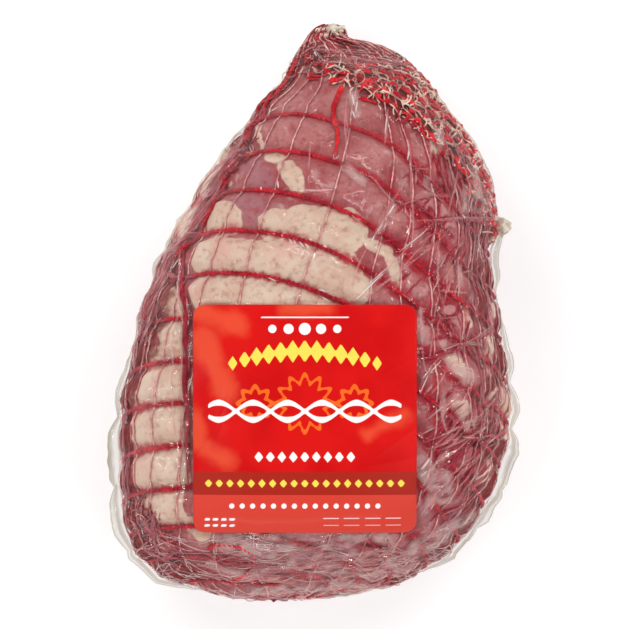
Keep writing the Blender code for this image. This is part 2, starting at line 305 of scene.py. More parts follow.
# Soft lights round the pack: name, azimuth, elevation, distance in metres, size in metres, radiance, and
# whether the film mirrors the light.
LIGHTS = (
    ("right_back_box", 50.0, 48.0, 1.1, (0.5, 0.5), 4.1, False),
    ("left_back_box", 132.0, 46.0, 1.1, (0.5, 0.5), 4.4, False),
    ("left_front_box", 222.0, 46.0, 1.1, (0.5, 0.5), 3.4, False),
    ("right_front_box", 316.0, 46.0, 1.1, (0.5, 0.5), 3.4, False),
    ("left_strip", 176.0, 30.0, 1.1, (0.05, 0.8), 6.0, True),
    ("right_strip", 8.0, 32.0, 1.1, (0.05, 0.8), 6.0, True),
    ("low_strip", 268.0, 34.0, 1.1, (0.8, 0.05), 8.0, True),
    ("back_strip", 98.0, 52.0, 1.1, (0.5, 0.05), 9.0, True),
    ("high_lamp", 70.0, 66.0, 1.3, (0.06, 0.06), 60.0, True),
    ("side_lamp", 195.0, 60.0, 1.3, (0.05, 0.05), 60.0, True),
    ("right_lamp", 338.0, 50.0, 1.3, (0.05, 0.05), 60.0, True),
)

# The camera looks straight down, and its frame is this wide at the pack's middle height.
CAMERA_AIM = (0.6, -0.4)
CAMERA_PLANE = 36.0
CAMERA_HEIGHT = 2500.0
FRAME_WIDTH = 245.3

SLOT_MEAT = "netted_meat"
SLOT_CORD = "netting_cord"
SLOT_FILM = "clear_film"
SLOT_LABEL = "printed_label"


# Numbers and curves

def smoothstep(low, high, x):
    t = np.clip((x - low) / (high - low), 0.0, 1.0)
    return t * t * (3.0 - 2.0 * t)


def hermite(knots, values, at):
    """A smooth curve through the values, one row for each of the places asked for."""
    slopes = np.gradient(values, knots, axis=0)
    i = np.clip(np.searchsorted(knots, at, side="right") - 1, 0, len(knots) - 2)
    span = knots[i + 1] - knots[i]
    t = ((at - knots[i]) / span)[..., None]
    span = span[..., None]
    return (
        (2 * t**3 - 3 * t**2 + 1) * values[i]
        + (t**3 - 2 * t**2 + t) * span * slopes[i]
        + (3 * t**2 - 2 * t**3) * values[i + 1]
        + (t**3 - t**2) * span * slopes[i + 1]
    )


def running(steps):
    """The length so far at each point of a line with these steps."""
    return np.concatenate(([0.0], np.cumsum(steps)))


def along_line(points):
    """The length so far at each of these points."""
    return running(np.linalg.norm(np.diff(points, axis=0), axis=1))


def unit(vectors, least=1e-9):
    """The vectors at length 1, unless they are shorter than the least."""
    return vectors / np.maximum(np.linalg.norm(vectors, axis=-1, keepdims=True), least)


def through(places, count):
    """A smooth line of this many points through the places, and how many places each has passed."""
    places = np.array(places, float)
    passed = np.linspace(0, len(places) - 1, count)
    return hermite(np.arange(len(places), dtype=float), places, passed), passed


LATTICE = np.random.default_rng(7).random((32, 32, 32))


def cloud(points, size, seed=0.0):
    """Soft noise from 0 to 1 at these points, with blobs about this size."""
    q = points / size + seed
    low = np.floor(q).astype(int)
    t = q - low
    t = t * t * (3.0 - 2.0 * t)
    total = np.zeros(q.shape[:-1])
    for corner in np.ndindex(2, 2, 2):
        share = np.ones(q.shape[:-1])
        for axis in range(3):
            share = share * (t[..., axis] if corner[axis] else 1.0 - t[..., axis])
        index = [(low[..., axis] + corner[axis]) % 32 for axis in range(3)]
        total += share * LATTICE[index[0], index[1], index[2]]
    return total


def strokes(x, y, table, reach=6.0):
    """How far these places lie inside the nearest of the strokes, in millimetres; outside is below zero."""
    inside = np.full(x.shape, -reach)
    for x0, y0, x1, y1, radius in table:
        run = np.array((x1 - x0, y1 - y0))
        t = np.clip(((x - x0) * run[0] + (y - y0) * run[1]) / (run @ run), 0.0, 1.0)
        far = np.hypot(x - x0 - t * run[0], y - y0 - t * run[1])
        inside = np.maximum(inside, radius - far)
    return inside


# The bare form of the pack

def dense_stations():
    """The stations as a fine table, and the length along the crown from the tail to each row."""
    steps = np.diff(STATIONS, axis=0)
    chords = np.sqrt(steps[:, Y] ** 2 + 0.5 * steps[:, LEFT] ** 2 + 0.5 * steps[:, RIGHT] ** 2)
    knots = running(chords)
    table = hermite(knots, STATIONS, np.linspace(0.0, knots[-1], DENSE))
    return table, running(np.hypot(np.diff(table[:, Y]), np.diff(table[:, CROWN])))


TABLE, LENGTHS = dense_stations()
LENGTH = LENGTHS[-1]


def even_angles():
    """Angles that space points evenly round the upper half of a usual section."""
    angle = np.linspace(np.pi, 0.0, DENSE)
    x = USUAL_HALF_WIDTH * np.sign(np.cos(angle)) * np.abs(np.cos(angle)) ** (2 / ROUNDNESS)
    z = USUAL_HEIGHT * np.abs(np.sin(angle)) ** (2 / ROUNDNESS)
    runs = running(np.hypot(np.diff(x), np.diff(z)))
    return runs / runs[-1], angle


SHARES, ANGLES = even_angles()


def stations_at(m, *columns):
    """These columns of the table at this length."""
    return [np.interp(m, LENGTHS, TABLE[:, i]) for i in columns]


def bare_form(m, p):
    """Points of the pack without relief."""
    y, left, right, crown, waist = stations_at(m, Y, LEFT, RIGHT, CROWN, WAIST)
    over = p <= 1.0
    angle = np.interp(np.where(over, p, 2.0 - p), SHARES, ANGLES)
    across = np.sign(np.cos(angle)) * np.abs(np.cos(angle)) ** (2 / ROUNDNESS)
    up = np.abs(np.sin(angle)) ** (2 / ROUNDNESS)
    above = crown - waist
    below = np.minimum(BELLY_SHARE * waist, above)
    x = (left + right) / 2 + across * (right - left) / 2
    z = waist + np.where(over, above, -below) * up
    return np.stack((x, y, z), axis=-1)


def place(x, y):
    """The length and share on the pack's top that lie under this place seen from above."""
    x, y = np.asarray(x, float), np.asarray(y, float)
    m = np.interp(-y, -TABLE[:, Y], LENGTHS)
    left, right = stations_at(m, LEFT, RIGHT)
    across = np.clip((x - (left + right) / 2) / ((right - left) / 2), -1.0, 1.0)
    cosine = np.sign(across) * np.abs(across) ** (ROUNDNESS / 2)
    share = np.interp(-np.arccos(np.clip(cosine, -1.0, 1.0)), -ANGLES, SHARES)
    return m, share


class Skin:
    """The pack's skin on its grid: bare points, normals, and the length of one share at each place."""

    def __init__(self):
        self.m = np.linspace(0.0, LENGTH, ROWS)
        self.p = np.arange(COLUMNS) * 2.0 / COLUMNS
        self.grid_m, self.grid_p = np.meshgrid(self.m, self.p, indexing="ij")
        self.bare = bare_form(self.grid_m, self.grid_p)
        around = np.roll(self.bare, -1, axis=1) - np.roll(self.bare, 1, axis=1)
        along = np.gradient(self.bare, axis=0)
        self.normal = unit(-np.cross(around, along), 1e-6)
        self.girth = np.linalg.norm(around, axis=-1) / (4.0 / COLUMNS)
        self.stretch = np.linalg.norm(along, axis=-1) / (LENGTH / (ROWS - 1))

    def sample(self, field, m, p):
        """A field of the grid, read between its points."""
        i = np.clip(m / LENGTH * (ROWS - 1), 0.0, ROWS - 1.001)
        j = (np.asarray(p) % 2.0) / 2.0 * COLUMNS
        i0, j0 = np.floor(i).astype(int), np.floor(j).astype(int)
        s, t = i - i0, j - j0
        if field.ndim == 3:
            s, t = s[..., None], t[..., None]
        j0, j1 = j0 % COLUMNS, (j0 + 1) % COLUMNS
        return (
            field[i0, j0] * (1 - s) * (1 - t)
            + field[i0 + 1, j0] * s * (1 - t)
            + field[i0, j1] * (1 - s) * t
            + field[i0 + 1, j1] * s * t
        )

    def points(self, height, floor):
        """The grid's points at this height over the bare form, and no lower than the floor."""
        made = self.bare + self.normal * height[..., None]
        made[..., 2] = np.maximum(made[..., 2], floor)
        return made

    def at(self, m, p, height, floor):
        """Points and normals of a route over the skin."""
        normal = self.sample(self.normal, m, p)
        point = self.sample(self.bare, m, p) + normal * np.asarray(height)[..., None]
        point[..., 2] = np.maximum(point[..., 2], floor)
        return point, normal


SKIN = Skin()


def ends_fade(m, reach):
    """1 along the pack, easing to 0 at both ends."""
    return smoothstep(0.0, reach, m) * smoothstep(0.0, reach, LENGTH - m)


# The netting's own coordinates

def net_place(m, p):
    """Where a place of the skin lies along the net, had its rings not slid."""
    slide = hermite(CORD_SLIDE[:, 0], CORD_SLIDE[:, 1:], np.asarray(p) % 2.0)[..., 0]
    return m - slide * smoothstep(0.0, SLIDE_EASE, m)


def thread_share(start, m):
    """The share that a lengthwise thread has reached at this length."""
    sway = np.exp(-(((start - LEAN_CENTRE) / LEAN_WIDTH) ** 2))
    return start - THREAD_LEAN * sway * np.clip((m - THREAD_START) / 100.0, -0.7, 1.0)


def bunch_reach(x, y):
    """How far a place lies inside the bunched netting, in millimetres."""
    return BUNCH_SLOPE * (y - np.interp(x, BUNCH_EDGE[:, 0], BUNCH_EDGE[:, 1]))


NET = net_place(SKIN.grid_m, SKIN.grid_p)


def ring_route(place_on_net, low=0.0, high=2.0, wobble=None):
    """The lengths at which a ring of the net crosses each column, or nothing where it runs off the end."""
    shares = SKIN.p[(SKIN.p >= low) & (SKIN.p <= high)]
    columns = np.searchsorted(SKIN.p, shares)
    lengths = np.full(len(shares), np.nan)
    for n, j in enumerate(columns):
        wanted = place_on_net if wobble is None else place_on_net + wobble[n]
        if NET[0, j] <= wanted <= NET[-1, j]:
            lengths[n] = np.interp(wanted, np.maximum.accumulate(NET[:, j]), SKIN.m)
    return lengths, shares


# Fields over the skin

def beside_cord():
    """Distance to the nearest ring cord, across it."""
    k = np.clip(np.round((NET - CORD_FIRST) / CORD_PITCH), 0, CORD_COUNT - 1)
    off = np.abs(NET - CORD_FIRST - k * CORD_PITCH)
    along = np.gradient(NET, axis=0) / (LENGTH / (ROWS - 1)) / np.maximum(SKIN.stretch, 0.3)
    around = (np.roll(NET, -1, axis=1) - np.roll(NET, 1, axis=1)) / (4.0 / COLUMNS)
    slope = np.hypot(along, around / np.maximum(SKIN.girth, 20.0))
    return off / np.maximum(slope, 0.5)


def beside_thread():
    """Distance to the nearest lengthwise thread."""
    nearest = np.full(NET.shape, 99.0)
    for start in THREAD_SHARES:
        off = np.abs(SKIN.grid_p - thread_share(start, SKIN.grid_m))
        off = np.minimum(off, 2.0 - off)
        nearest = np.minimum(nearest, off * SKIN.girth)
    return nearest


def outside_label(x, y):
    return np.maximum(
        np.maximum(LABEL_LEFT - x, x - LABEL_RIGHT),
        np.maximum(LABEL_BOTTOM - y, y - LABEL_TOP),
    )


def lumps(x, y, z):
    """Height of the soft bumps on the upper half, none of them under the label."""
    total = np.zeros_like(x)
    for lump_x, lump_y, height, radius in LUMPS:
        total += height * np.exp(-((x - lump_x) ** 2 + (y - lump_y) ** 2) / radius**2)
    return total * smoothstep(5.0, 13.0, outside_label(x, y)) * smoothstep(SIDE_LOW, SIDE_HIGH, z)


def fold(x, y, z):
    """Depth of the long fold left of the label."""
    along = smoothstep(FOLD_END, FOLD_END + FOLD_EASE, y) * smoothstep(FOLD_TOP, FOLD_TOP - FOLD_EASE, y)
    side = np.exp(-(((x - FOLD_X) / FOLD_WIDTH) ** 2))
    return FOLD_DEPTH * side * along * smoothstep(SIDE_LOW, SIDE_HIGH, z)


X0, Y0, Z0 = (SKIN.bare[..., i] for i in range(3))


def seen(m, p):
    """Where places of the skin are seen from above."""
    return SKIN.sample(X0, m, p), SKIN.sample(Y0, m, p)


def read(field, m, p):
    """A field of the grid at one place."""
    return float(SKIN.sample(field, np.array(m), np.array(p)))


def seen_place(m, p):
    """Where one place of the skin is seen from above."""
    return read(X0, m, p), read(Y0, m, p)


TOP = smoothstep(10.0, 24.0, Z0)
FROM_CORD = beside_cord()
FROM_THREAD = beside_thread()
LABELLED = smoothstep(3.0, -0.5, outside_label(X0, Y0)) * TOP
BUNCHED = smoothstep(-3.0, 3.0, bunch_reach(X0, Y0)) * smoothstep(4.0, 12.0, Z0)


def blended(table, size, cut, seed):
    """Strokes on the top, and clouds that take over lower down and behind."""
    wild = (cloud(SKIN.bare, size, seed) - cut) * size
    return np.clip(strokes(X0, Y0, table) * TOP + wild * (1.0 - TOP), -6.0, 6.0)


FAT_FIELD = blended(FAT + EDGE_FAT, 34.0, 0.52, 3.3)
DARK_FIELD = blended(DARK, 22.0, 0.80, 8.1)
PURPLE_FIELD = blended(PURPLE, 26.0, 0.70, 5.7)
HAZE_AND_GLARE_FIELD = blended(HAZE_AND_GLARE, 14.0, 0.78, 1.9)


def busy_share():
    """How crumpled the film is, from 0 where it is drawn smooth over the fat to 1 along the edges."""
    right = smoothstep(0.52, 0.72, SKIN.grid_p)
    left = smoothstep(0.22, 0.08, SKIN.grid_p)
    blunt = smoothstep(222.0, 240.0, SKIN.grid_m)
    top = np.maximum(np.maximum(right, left), blunt)
    netted = smoothstep(-3.0, 3.0, bunch_reach(X0, Y0))
    return np.where(SKIN.grid_p <= 1.0, top * (1.0 - 0.8 * netted), 0.5 + 0.5 * smoothstep(10.0, 28.0, Z0))


BUSY = busy_share()


def meat_height():
    """The meat's surface over the bare form."""
    pillow = smoothstep(GROOVE_WIDTH, PILLOW_REACH, FROM_CORD)
    grooves = GROOVE_DEPTH * (1.0 - pillow) * smoothstep(CORD_FIRST - 12.0, CORD_FIRST - 2.0, NET)
    threads = THREAD_DEPTH * (1.0 - smoothstep(0.0, THREAD_REACH, FROM_THREAD))
    netted = np.maximum(grooves, threads) * (1.0 - 0.6 * BUNCHED)
    fat = 0.6 * smoothstep(-0.8, 0.8, FAT_FIELD)
    grain = 0.9 * (cloud(SKIN.bare, 9.0, 2.2) - 0.5) + 0.4 * (cloud(SKIN.bare, 3.2, 6.4) - 0.5)
    relief = lumps(X0, Y0, Z0) - fold(X0, Y0, Z0) - netted + fat + grain * (1.0 - LABELLED)
    return -0.9 + relief * ends_fade(SKIN.grid_m, 14.0) + BUNCH_HEIGHT * BUNCHED


MEAT = meat_height()


# Strands of the net

class Strand:
    """A route over the skin, with the strand's radius, its plies and their twist."""

    def __init__(self, m, p, lift, radius, plies=1, twist=5.0, closed=False, turn=0.0):
        self.m, self.p = np.asarray(m, float), np.asarray(p, float)
        self.radius = np.broadcast_to(np.asarray(radius, float), self.m.shape)
        self.plies, self.twist, self.closed, self.turn = plies, twist, closed, turn
        self.spread = self.radius * (0.85 if plies > 1 else 0.0)
        self.height = SKIN.sample(MEAT, self.m, self.p) + lift

    def press(self, field):
        """Raises a field of the grid to the strand's top."""
        i = np.clip(np.round(self.m / LENGTH * (ROWS - 1)).astype(int), 0, ROWS - 1)
        j = np.round((self.p % 2.0) / 2.0 * COLUMNS).astype(int) % COLUMNS
        np.maximum.at(field, (i, j), self.height + self.radius + self.spread)


def even_steps(m, p, step):
    """The route again with points this far apart along it."""
    point, _ = SKIN.at(m, p, np.zeros(len(m)), 0.0)
    runs = along_line(point)
    count = max(4, int(runs[-1] / step))
    at = np.linspace(0.0, runs[-1], count)
    return np.interp(at, runs, m), np.interp(at, runs, p)


def tubes(strands, sides, floor):
    """Vertices and faces of the strands' plies."""
    vertices, faces, total = [], [], 0
    angles = np.arange(sides) * 2 * np.pi / sides
    for strand in strands:
        centre, normal = SKIN.at(strand.m, strand.p, strand.height, floor + strand.radius + strand.spread)
        if strand.closed:
            tangent = np.roll(centre, -1, axis=0) - np.roll(centre, 1, axis=0)
        else:
            tangent = np.gradient(centre, axis=0)
        tangent = unit(tangent)
        side = unit(np.cross(tangent, normal))
        up = np.cross(side, tangent)
        runs = along_line(centre)
        count = len(centre)
        twist = strand.twist
        if strand.closed:
            round_trip = runs[-1] + np.linalg.norm(centre[0] - centre[-1])
            twist = round_trip / max(round(round_trip / strand.twist), 1)
        for ply in range(strand.plies):
            phase = 2 * np.pi * (runs / twist + ply / strand.plies) + strand.turn
            swing = strand.spread[:, None] * (np.cos(phase)[:, None] * up + np.sin(phase)[:, None] * side)
            ring = (
                (centre + swing)[:, None, :]
                + (strand.radius[:, None] * np.cos(angles))[..., None] * up[:, None, :]
                + (strand.radius[:, None] * np.sin(angles))[..., None] * side[:, None, :]
            )
            vertices.append(ring.reshape(-1, 3))
            last = count if strand.closed else count - 1
            a, j = np.meshgrid(np.arange(last), np.arange(sides), indexing="ij")
            b, k = (a + 1) % count, (j + 1) % sides
            quads = np.stack((a * sides + j, a * sides + k, b * sides + k, b * sides + j), axis=-1)
            faces.extend((quads.reshape(-1, 4) + total).tolist())
            if not strand.closed:
                faces.append([total + n for n in reversed(range(sides))])
                faces.append([total + (count - 1) * sides + n for n in range(sides)])
            total += count * sides
    return np.concatenate(vertices), faces


def ring_cords():
    """The twisted elastic cords that ring the roll."""
    made = []
    for k in range(CORD_COUNT):
        m, p = ring_route(CORD_FIRST + k * CORD_PITCH)
        kept = np.nan_to_num(m, nan=LENGTH) < LENGTH - CORD_CLEAR
        if kept.all():
            m, p = even_steps(np.append(m, m[0]), np.append(p, 2.0), CORD_STEP)
            radius = CORD_RADIUS * (1.0 + 0.16 * np.sin(p[:-1] * 200.0) * np.sin(p[:-1] * 61.0 + k))
            made.append(Strand(m[:-1], p[:-1], CORD_LIFT, radius, 2, CORD_TWIST, closed=True))
            continue
        turn = int(np.argmin(kept))
        kept, m = np.roll(kept, -turn), np.roll(m, -turn)
        p = np.roll(p, -turn) + np.where(np.arange(len(p)) >= len(p) - turn, 2.0, 0.0)
        if kept.sum() > 20:
            m, p = even_steps(m[kept], p[kept], CORD_STEP)
            made.append(Strand(m, p, CORD_LIFT, CORD_RADIUS, 2, CORD_TWIST))
    return made


def long_threads(rng):
    """The thin threads that run the length of the roll, two loosely twisted plies each."""
    made = []
    for start in THREAD_SHARES:
        m = np.linspace(9.0, LENGTH - 6.0, 160)
        knots = np.linspace(0.0, LENGTH, 20)
        drift = np.interp(m, knots, rng.normal(0.0, 0.5, 20))
        girth = np.maximum(SKIN.sample(SKIN.girth, m, np.full(len(m), start)), 40.0)
        m, p = even_steps(m, thread_share(start, m) + drift / girth, THREAD_STEP)
        made.append(Strand(m, p, 0.55, THREAD_RADIUS, 2, THREAD_TWIST, turn=start * 40.0))
    return made


def inner_runs(m, p, margin):
    """The stretches of a route that lie inside the bunched net, by first and last point."""
    x, y = seen(m, p)
    inside = ~np.isnan(m) & (bunch_reach(x, y) > margin) & (y < BUNCH_TOP + 1.5 * np.sin(x / 3.0))
    ends = np.flatnonzero(np.diff(np.concatenate(([0], inside.astype(int), [0]))))
    return [(low, high) for low, high in zip(ends[::2], ends[1::2]) if high - low > 12]


def gathered_rings(rng):
    """Rings of the net pushed close together over the shoulder: rows of red beads and pale frayed ones."""
    red, pale = [], []
    for n, where in enumerate(np.arange(BUNCH_START, BUNCH_LAST_RING, BUNCH_PITCH / 2)):
        shares = SKIN.p[(SKIN.p >= BUNCH_LOW) & (SKIN.p <= BUNCH_HIGH)]
        wander = np.interp(shares, np.linspace(BUNCH_LOW, BUNCH_HIGH, 22), rng.normal(0.0, 1.0, 22))
        m, p = ring_route(where, BUNCH_LOW, BUNCH_HIGH, wander)
        for low, high in inner_runs(m, p, -1.0 + 1.6 * np.sin(p * 37.0 + n)):
            m1, p1 = even_steps(m[low:high], p[low:high], FINE_STEP)
            s = np.arange(len(m1)) * FINE_STEP
            knots = np.arange(int(s[-1] / 4.0) + 2) * 4.0
            uneven = np.interp(s, knots, rng.normal(0.0, 1.0, len(knots)))
            beat = np.clip(np.sin(2 * np.pi * s / BUNCH_KNOT + n * 0.5 * np.pi + 1.3 * uneven), 0.0, 1.0)
            m1 = m1 + 0.7 * np.sin(2 * np.pi * s / (2 * BUNCH_KNOT) + n + uneven)
            if n % 3 == 2:
                radius = np.clip(0.22 + (0.26 + 0.1 * uneven) * beat, 0.2, 0.6)
                pale.append(Strand(m1, p1, 1.0 + 0.8 * beat, radius, 2, 4.4, turn=n))
            else:
                radius = np.clip(0.42 + (0.60 + 0.2 * uneven) * beat, 0.34, 1.15)
                red.append(Strand(m1, p1, 0.8 + 0.7 * beat, radius))
    return red, pale


def drifting(rng, m, count, spread):
    """A random drift along the bunched net, eased between this many places."""
    return np.interp(m, np.linspace(BUNCH_START, BUNCH_STOP, count), rng.normal(0.0, spread, count))


def gathered_threads(rng):
    """Pale lengthwise threads of the bunched net, zigzag from ring to ring so that they make a mesh."""
    made = []
    for n, start in enumerate(np.arange(BUNCH_LOW, BUNCH_HIGH, BUNCH_STEP)):
        m = np.arange(BUNCH_START, BUNCH_STOP, 0.6)
        p = np.full(m.shape, start)
        girth = np.maximum(SKIN.sample(SKIN.girth, m, p), 30.0)
        slip = drifting(rng, m, 12, 0.8)
        zigzag = np.arcsin(np.sin(np.pi * m / BUNCH_PITCH + n * np.pi + slip)) / 1.6
        drift = drifting(rng, m, 14, 1.1)
        p = start + (BUNCH_ZIGZAG * zigzag + drift) / girth
        for low, high in inner_runs(m, p, -2.0 + rng.normal(0.0, 1.2)):
            off = drifting(rng, m[low:high], 30, 0.3)
            m1, p1 = even_steps(m[low:high], p[low:high] + off / girth[low:high], FINE_STEP)
            lift = 1.15 + 0.6 * np.sin(np.pi * m1 / BUNCH_PITCH + 1.0) + rng.normal(0.0, 0.15)
            thick = 0.26 + 0.12 * np.sin(m1 * 1.7 + n) + rng.uniform(-0.04, 0.08)
            made.append(Strand(m1, p1, lift, thick, turn=n))
    return made


def tail_net(rng):
    """The net's end drawn together round the tail, with red and pale strands in turn."""
    red, pale = [], []
    for n in range(TAIL_STRANDS):
        start = 2.0 * n / TAIL_STRANDS + rng.normal(0.0, 0.02)
        m = np.linspace(3.0, 20.0 + 10.0 * rng.random(), 30)
        p = start + 0.03 * np.sin(m / 3.0 + n) + 0.01 * rng.normal()
        m, p = even_steps(m, p, 0.8)
        table = red if n % 6 else pale
        table.append(Strand(m, p, 0.5 + 0.5 * rng.random(), 0.26 if n % 6 else 0.2, 1))
    return red, pale


# Places along the left shoulder's cords.
SHOULDER = (
    (-6.0, 99.0), (-12.0, 89.5), (-20.0, 79.5), (-27.5, 68.0), (-31.5, 58.0), (-36.0, 47.0), (-42.0, 36.0),
    (-49.5, 26.5), (-57.5, 18.0), (-62.0, 8.0), (-66.0, -6.0),
)

# The shoulder's cords: shift across their line, how often they swing, and radius.
SHOULDER_CORDS = (
    (-2.2, 3.0, 0.34), (-1.4, 4.2, 0.50), (-0.6, 2.2, 0.40), (0.1, 3.6, 0.52), (0.9, 5.0, 0.36),
    (1.7, 2.8, 0.46), (2.4, 4.4, 0.30),
)


def shoulder_bundle():
    """Soaked cords that run together down the left shoulder to the bulge."""
    made = []
    line, passed = through(SHOULDER, 110)
    narrow = 1.0 - 0.45 * smoothstep(3.0, 5.0, passed)
    for n, (shift, turns, radius) in enumerate(SHOULDER_CORDS):
        off = (shift + 0.7 * np.sin(passed * turns / 2 + n)) * narrow
        m, p = even_steps(*place(line[:, 0] + off, line[:, 1] + off * 0.5), 0.9)
        made.append(Strand(m, p, 0.5 + 0.25 * (n % 3), radius, 2, 4.0, turn=n))
    return made


# Tangles of fine threads: middle, reach across and along, and how many.
TANGLES = (
    (-29.5, 63.0, 5.5, 6.0, 40),
    (1.0, 98.0, 10.0, 4.5, 70),
    (-67.5, -84.0, 4.5, 8.0, 56),
    (63.0, -48.0, 4.5, 4.0, 36),
    (-58.0, 20.0, 4.0, 4.0, 20),
    (-66.5, -6.0, 4.0, 5.0, 24),
    (30.0, 97.0, 9.0, 4.0, 40),
)


def curl(rng, x, y, half, turn):
    """A short curled route about this place of the top."""
    t = np.linspace(-1.0, 1.0, 24)
    heading = rng.uniform(0.0, math.pi) + rng.normal(0.0, turn) * t
    x = x + half * np.cumsum(np.cos(heading)) / 12
    y = y + half * np.cumsum(np.sin(heading)) / 12
    return even_steps(*place(x, y), 0.6)


def tangles(rng):
    """Short curled threads where the net is caught up."""
    red, pale = [], []
    for x0, y0, reach_x, reach_y, count in TANGLES:
        for n in range(count):
            x, y = x0 + rng.normal(0.0, 0.45) * reach_x, y0 + rng.normal(0.0, 0.45) * reach_y
            m, p = curl(rng, x, y, rng.uniform(1.2, 3.4), 1.3)
            table = pale if n % 5 == 0 else red
            table.append(Strand(m, p, rng.uniform(0.4, 1.3), rng.uniform(0.14, 0.3)))
    return red, pale


def gathered_tufts(rng):
    """Thick red knots and frayed pale fibres that stand on the bunched net."""
    red, pale = [], []
    while len(pale) < TUFTS:
        x, y = rng.uniform(-4.0, 72.0), rng.uniform(28.0, BUNCH_TOP)
        low, high = (np.interp(-y, -TABLE[:, Y], TABLE[:, i]) for i in (LEFT, RIGHT))
        if not low < x < high or bunch_reach(x, y) < rng.normal(0.0, 1.5):
            continue
        if rng.random() < 0.4:
            m, p = curl(rng, x, y, rng.uniform(1.0, 2.2), 0.6)
            red.append(Strand(m, p, 1.5, rng.uniform(0.45, 0.85) * np.sin(np.linspace(0.3, 2.84, len(m)))))
        else:
            m, p = curl(rng, x, y, rng.uniform(1.0, 3.0), 1.6)
            pale.append(Strand(m, p, rng.uniform(1.2, 2.1), rng.uniform(0.2, 0.38)))
    return red, pale


def free_route(places, lift, radius, plies, twist):
    """A strand laid over the top along given places."""
    line, _ = through(places, 30 * len(places))
    m, p = even_steps(*place(line[:, 0], line[:, 1]), 0.8)
    return Strand(m, p, lift, radius, plies, twist)


# Places along the cut cord at the shoulder, and along the loop below the label.
CUT_CORD = ((11.2, 87.0), (9.4, 83.0), (7.9, 78.0), (8.8, 72.5), (9.6, 67.0), (8.3, 60.5))
LOOP = (
    (-40.5, -91.0), (-36.5, -89.3), (-31.0, -89.3), (-26.0, -90.8), (-22.8, -94.0), (-23.2, -98.0),
    (-26.5, -100.0), (-31.0, -101.0),
)


def loose_cords():
    """The bright cut cord, which frays to its end, and the loop."""
    cut_cord = free_route(CUT_CORD, 1.2, 1.0, 1, 5.0)
    along = np.linspace(0.0, 1.0, len(cut_cord.m))
    uneven = 0.12 * np.sin(along * 41.0) * np.sin(along * 17.0)
    cut_cord.radius = cut_cord.radius * (1.1 - 0.65 * along**2 + uneven)
    return [cut_cord, free_route(LOOP, 0.9, 0.42, 2, 4.0)]


def end_fibres(rng):
    """Fine frayed fibres of the net's end, drawn round the blunt end."""
    made = []
    for n in range(END_FIBRES):
        middle = rng.uniform(0.05, 0.92)
        half = rng.uniform(0.03, 0.14)
        p = np.linspace(middle - half, middle + half, 60)
        base = rng.uniform(222.0, 276.0) + 10.0 * smoothstep(0.35, 0.8, p)
        sway = rng.uniform(1.0, 4.0) * np.sin(p * rng.uniform(14.0, 40.0) + n)
        m = np.clip(base + sway + rng.normal(0.0, 0.12, 60), 8.0, LENGTH - 3.0)
        if np.min(outside_label(*seen(m, p))) < 1.5:
            continue
        m, p = even_steps(m, p, 0.9)
        made.append(Strand(m, p, 0.5 + 0.3 * rng.random(), rng.uniform(0.13, 0.24)))
    return made


# The film over it all

def beside(field):
    """The mean of each point's four neighbours on the grid."""
    padded = np.pad(field, ((1, 1), (0, 0)), mode="edge")
    return (padded[2:] + padded[:-2] + np.roll(field, 1, 1) + np.roll(field, -1, 1)) / 4


def stretched(obstacle):
    """A skin drawn tight over the obstacle."""
    film = obstacle.copy()
    for _ in range(FILM_ROUNDS):
        film = np.maximum(obstacle, beside(film) - FILM_PULL)
    for _ in range(2):
        film = 0.5 * film + 0.5 * beside(film)
    return film


class Crease:
    """A crease of the film, from a place of the skin, at an angle from +X seen from above."""

    def __init__(self, m, p, angle, length, height, width, bow=0.0, sharp=False):
        self.m, self.p, self.length = m, p, length
        self.girth = max(read(SKIN.girth, m, p), 30.0)
        self.step = np.array((-math.sin(angle), math.cos(angle))) * length
        self.height, self.width, self.bow, self.sharp = height, width, bow, sharp
        self.weight = min(max(height / 0.5, 0.2), 1.0) if height else 1.0

    def raise_on(self, height, mark):
        """Adds the crease to the film's height, and marks where it runs."""
        margin = 4.0 * self.width + abs(self.bow) * self.length
        m0, m1 = sorted((self.m, self.m + self.step[0]))
        q0, q1 = sorted((0.0, self.step[1]))
        scale = (ROWS - 1) / LENGTH
        i0, i1 = max(int((m0 - margin) * scale), 0), min(int((m1 + margin) * scale) + 2, ROWS)
        j0 = int(np.floor((self.p + (q0 - margin) / self.girth) / 2.0 * COLUMNS))
        j1 = int(np.ceil((self.p + (q1 + margin) / self.girth) / 2.0 * COLUMNS))
        if i1 <= i0:
            return
        rows = np.arange(i0, i1)
        columns = np.arange(j0, j1)
        u = (rows / scale - self.m)[:, None]
        v = ((columns * 2.0 / COLUMNS - self.p) * self.girth)[None, :]
        t = (u * self.step[0] + v * self.step[1]) / self.length**2
        ease = np.clip(4.0 * t * (1.0 - t), 0.0, 1.0)
        side = (u * self.step[1] - v * self.step[0]) / self.length - self.bow * self.length * ease
        ridge = np.exp(-((side / self.width) ** 2)) - 0.45 * np.exp(-((side / self.width - 1.9) ** 2))
        block = np.ix_(rows, columns % COLUMNS)
        height[block] += self.height * ridge * np.sqrt(ease)
        shown = self.weight * np.exp(-((side / self.width) ** 2)) * np.sqrt(ease)
        mark[block] = np.maximum(mark[block], shown)

    def route(self, count):
        """Lengths and shares of points along the crease."""
        t = np.linspace(0.0, 1.0, count)
        off = self.bow * self.length * 4.0 * t * (1.0 - t)
        across = np.array((self.step[1], -self.step[0])) / self.length
        m = self.m + t * self.step[0] + off * across[0]
        return m, self.p + (t * self.step[1] + off * across[1]) / self.girth

    def part(self, low, high, width):
        """A straight crease along this one between two shares of its length."""
        made = copy.copy(self)
        made.m, made.p = self.m + low * self.step[0], self.p + low * self.step[1] / self.girth
        made.step, made.length = self.step * (high - low), self.length * (high - low)
        made.width, made.bow = width, 0.0
        return made


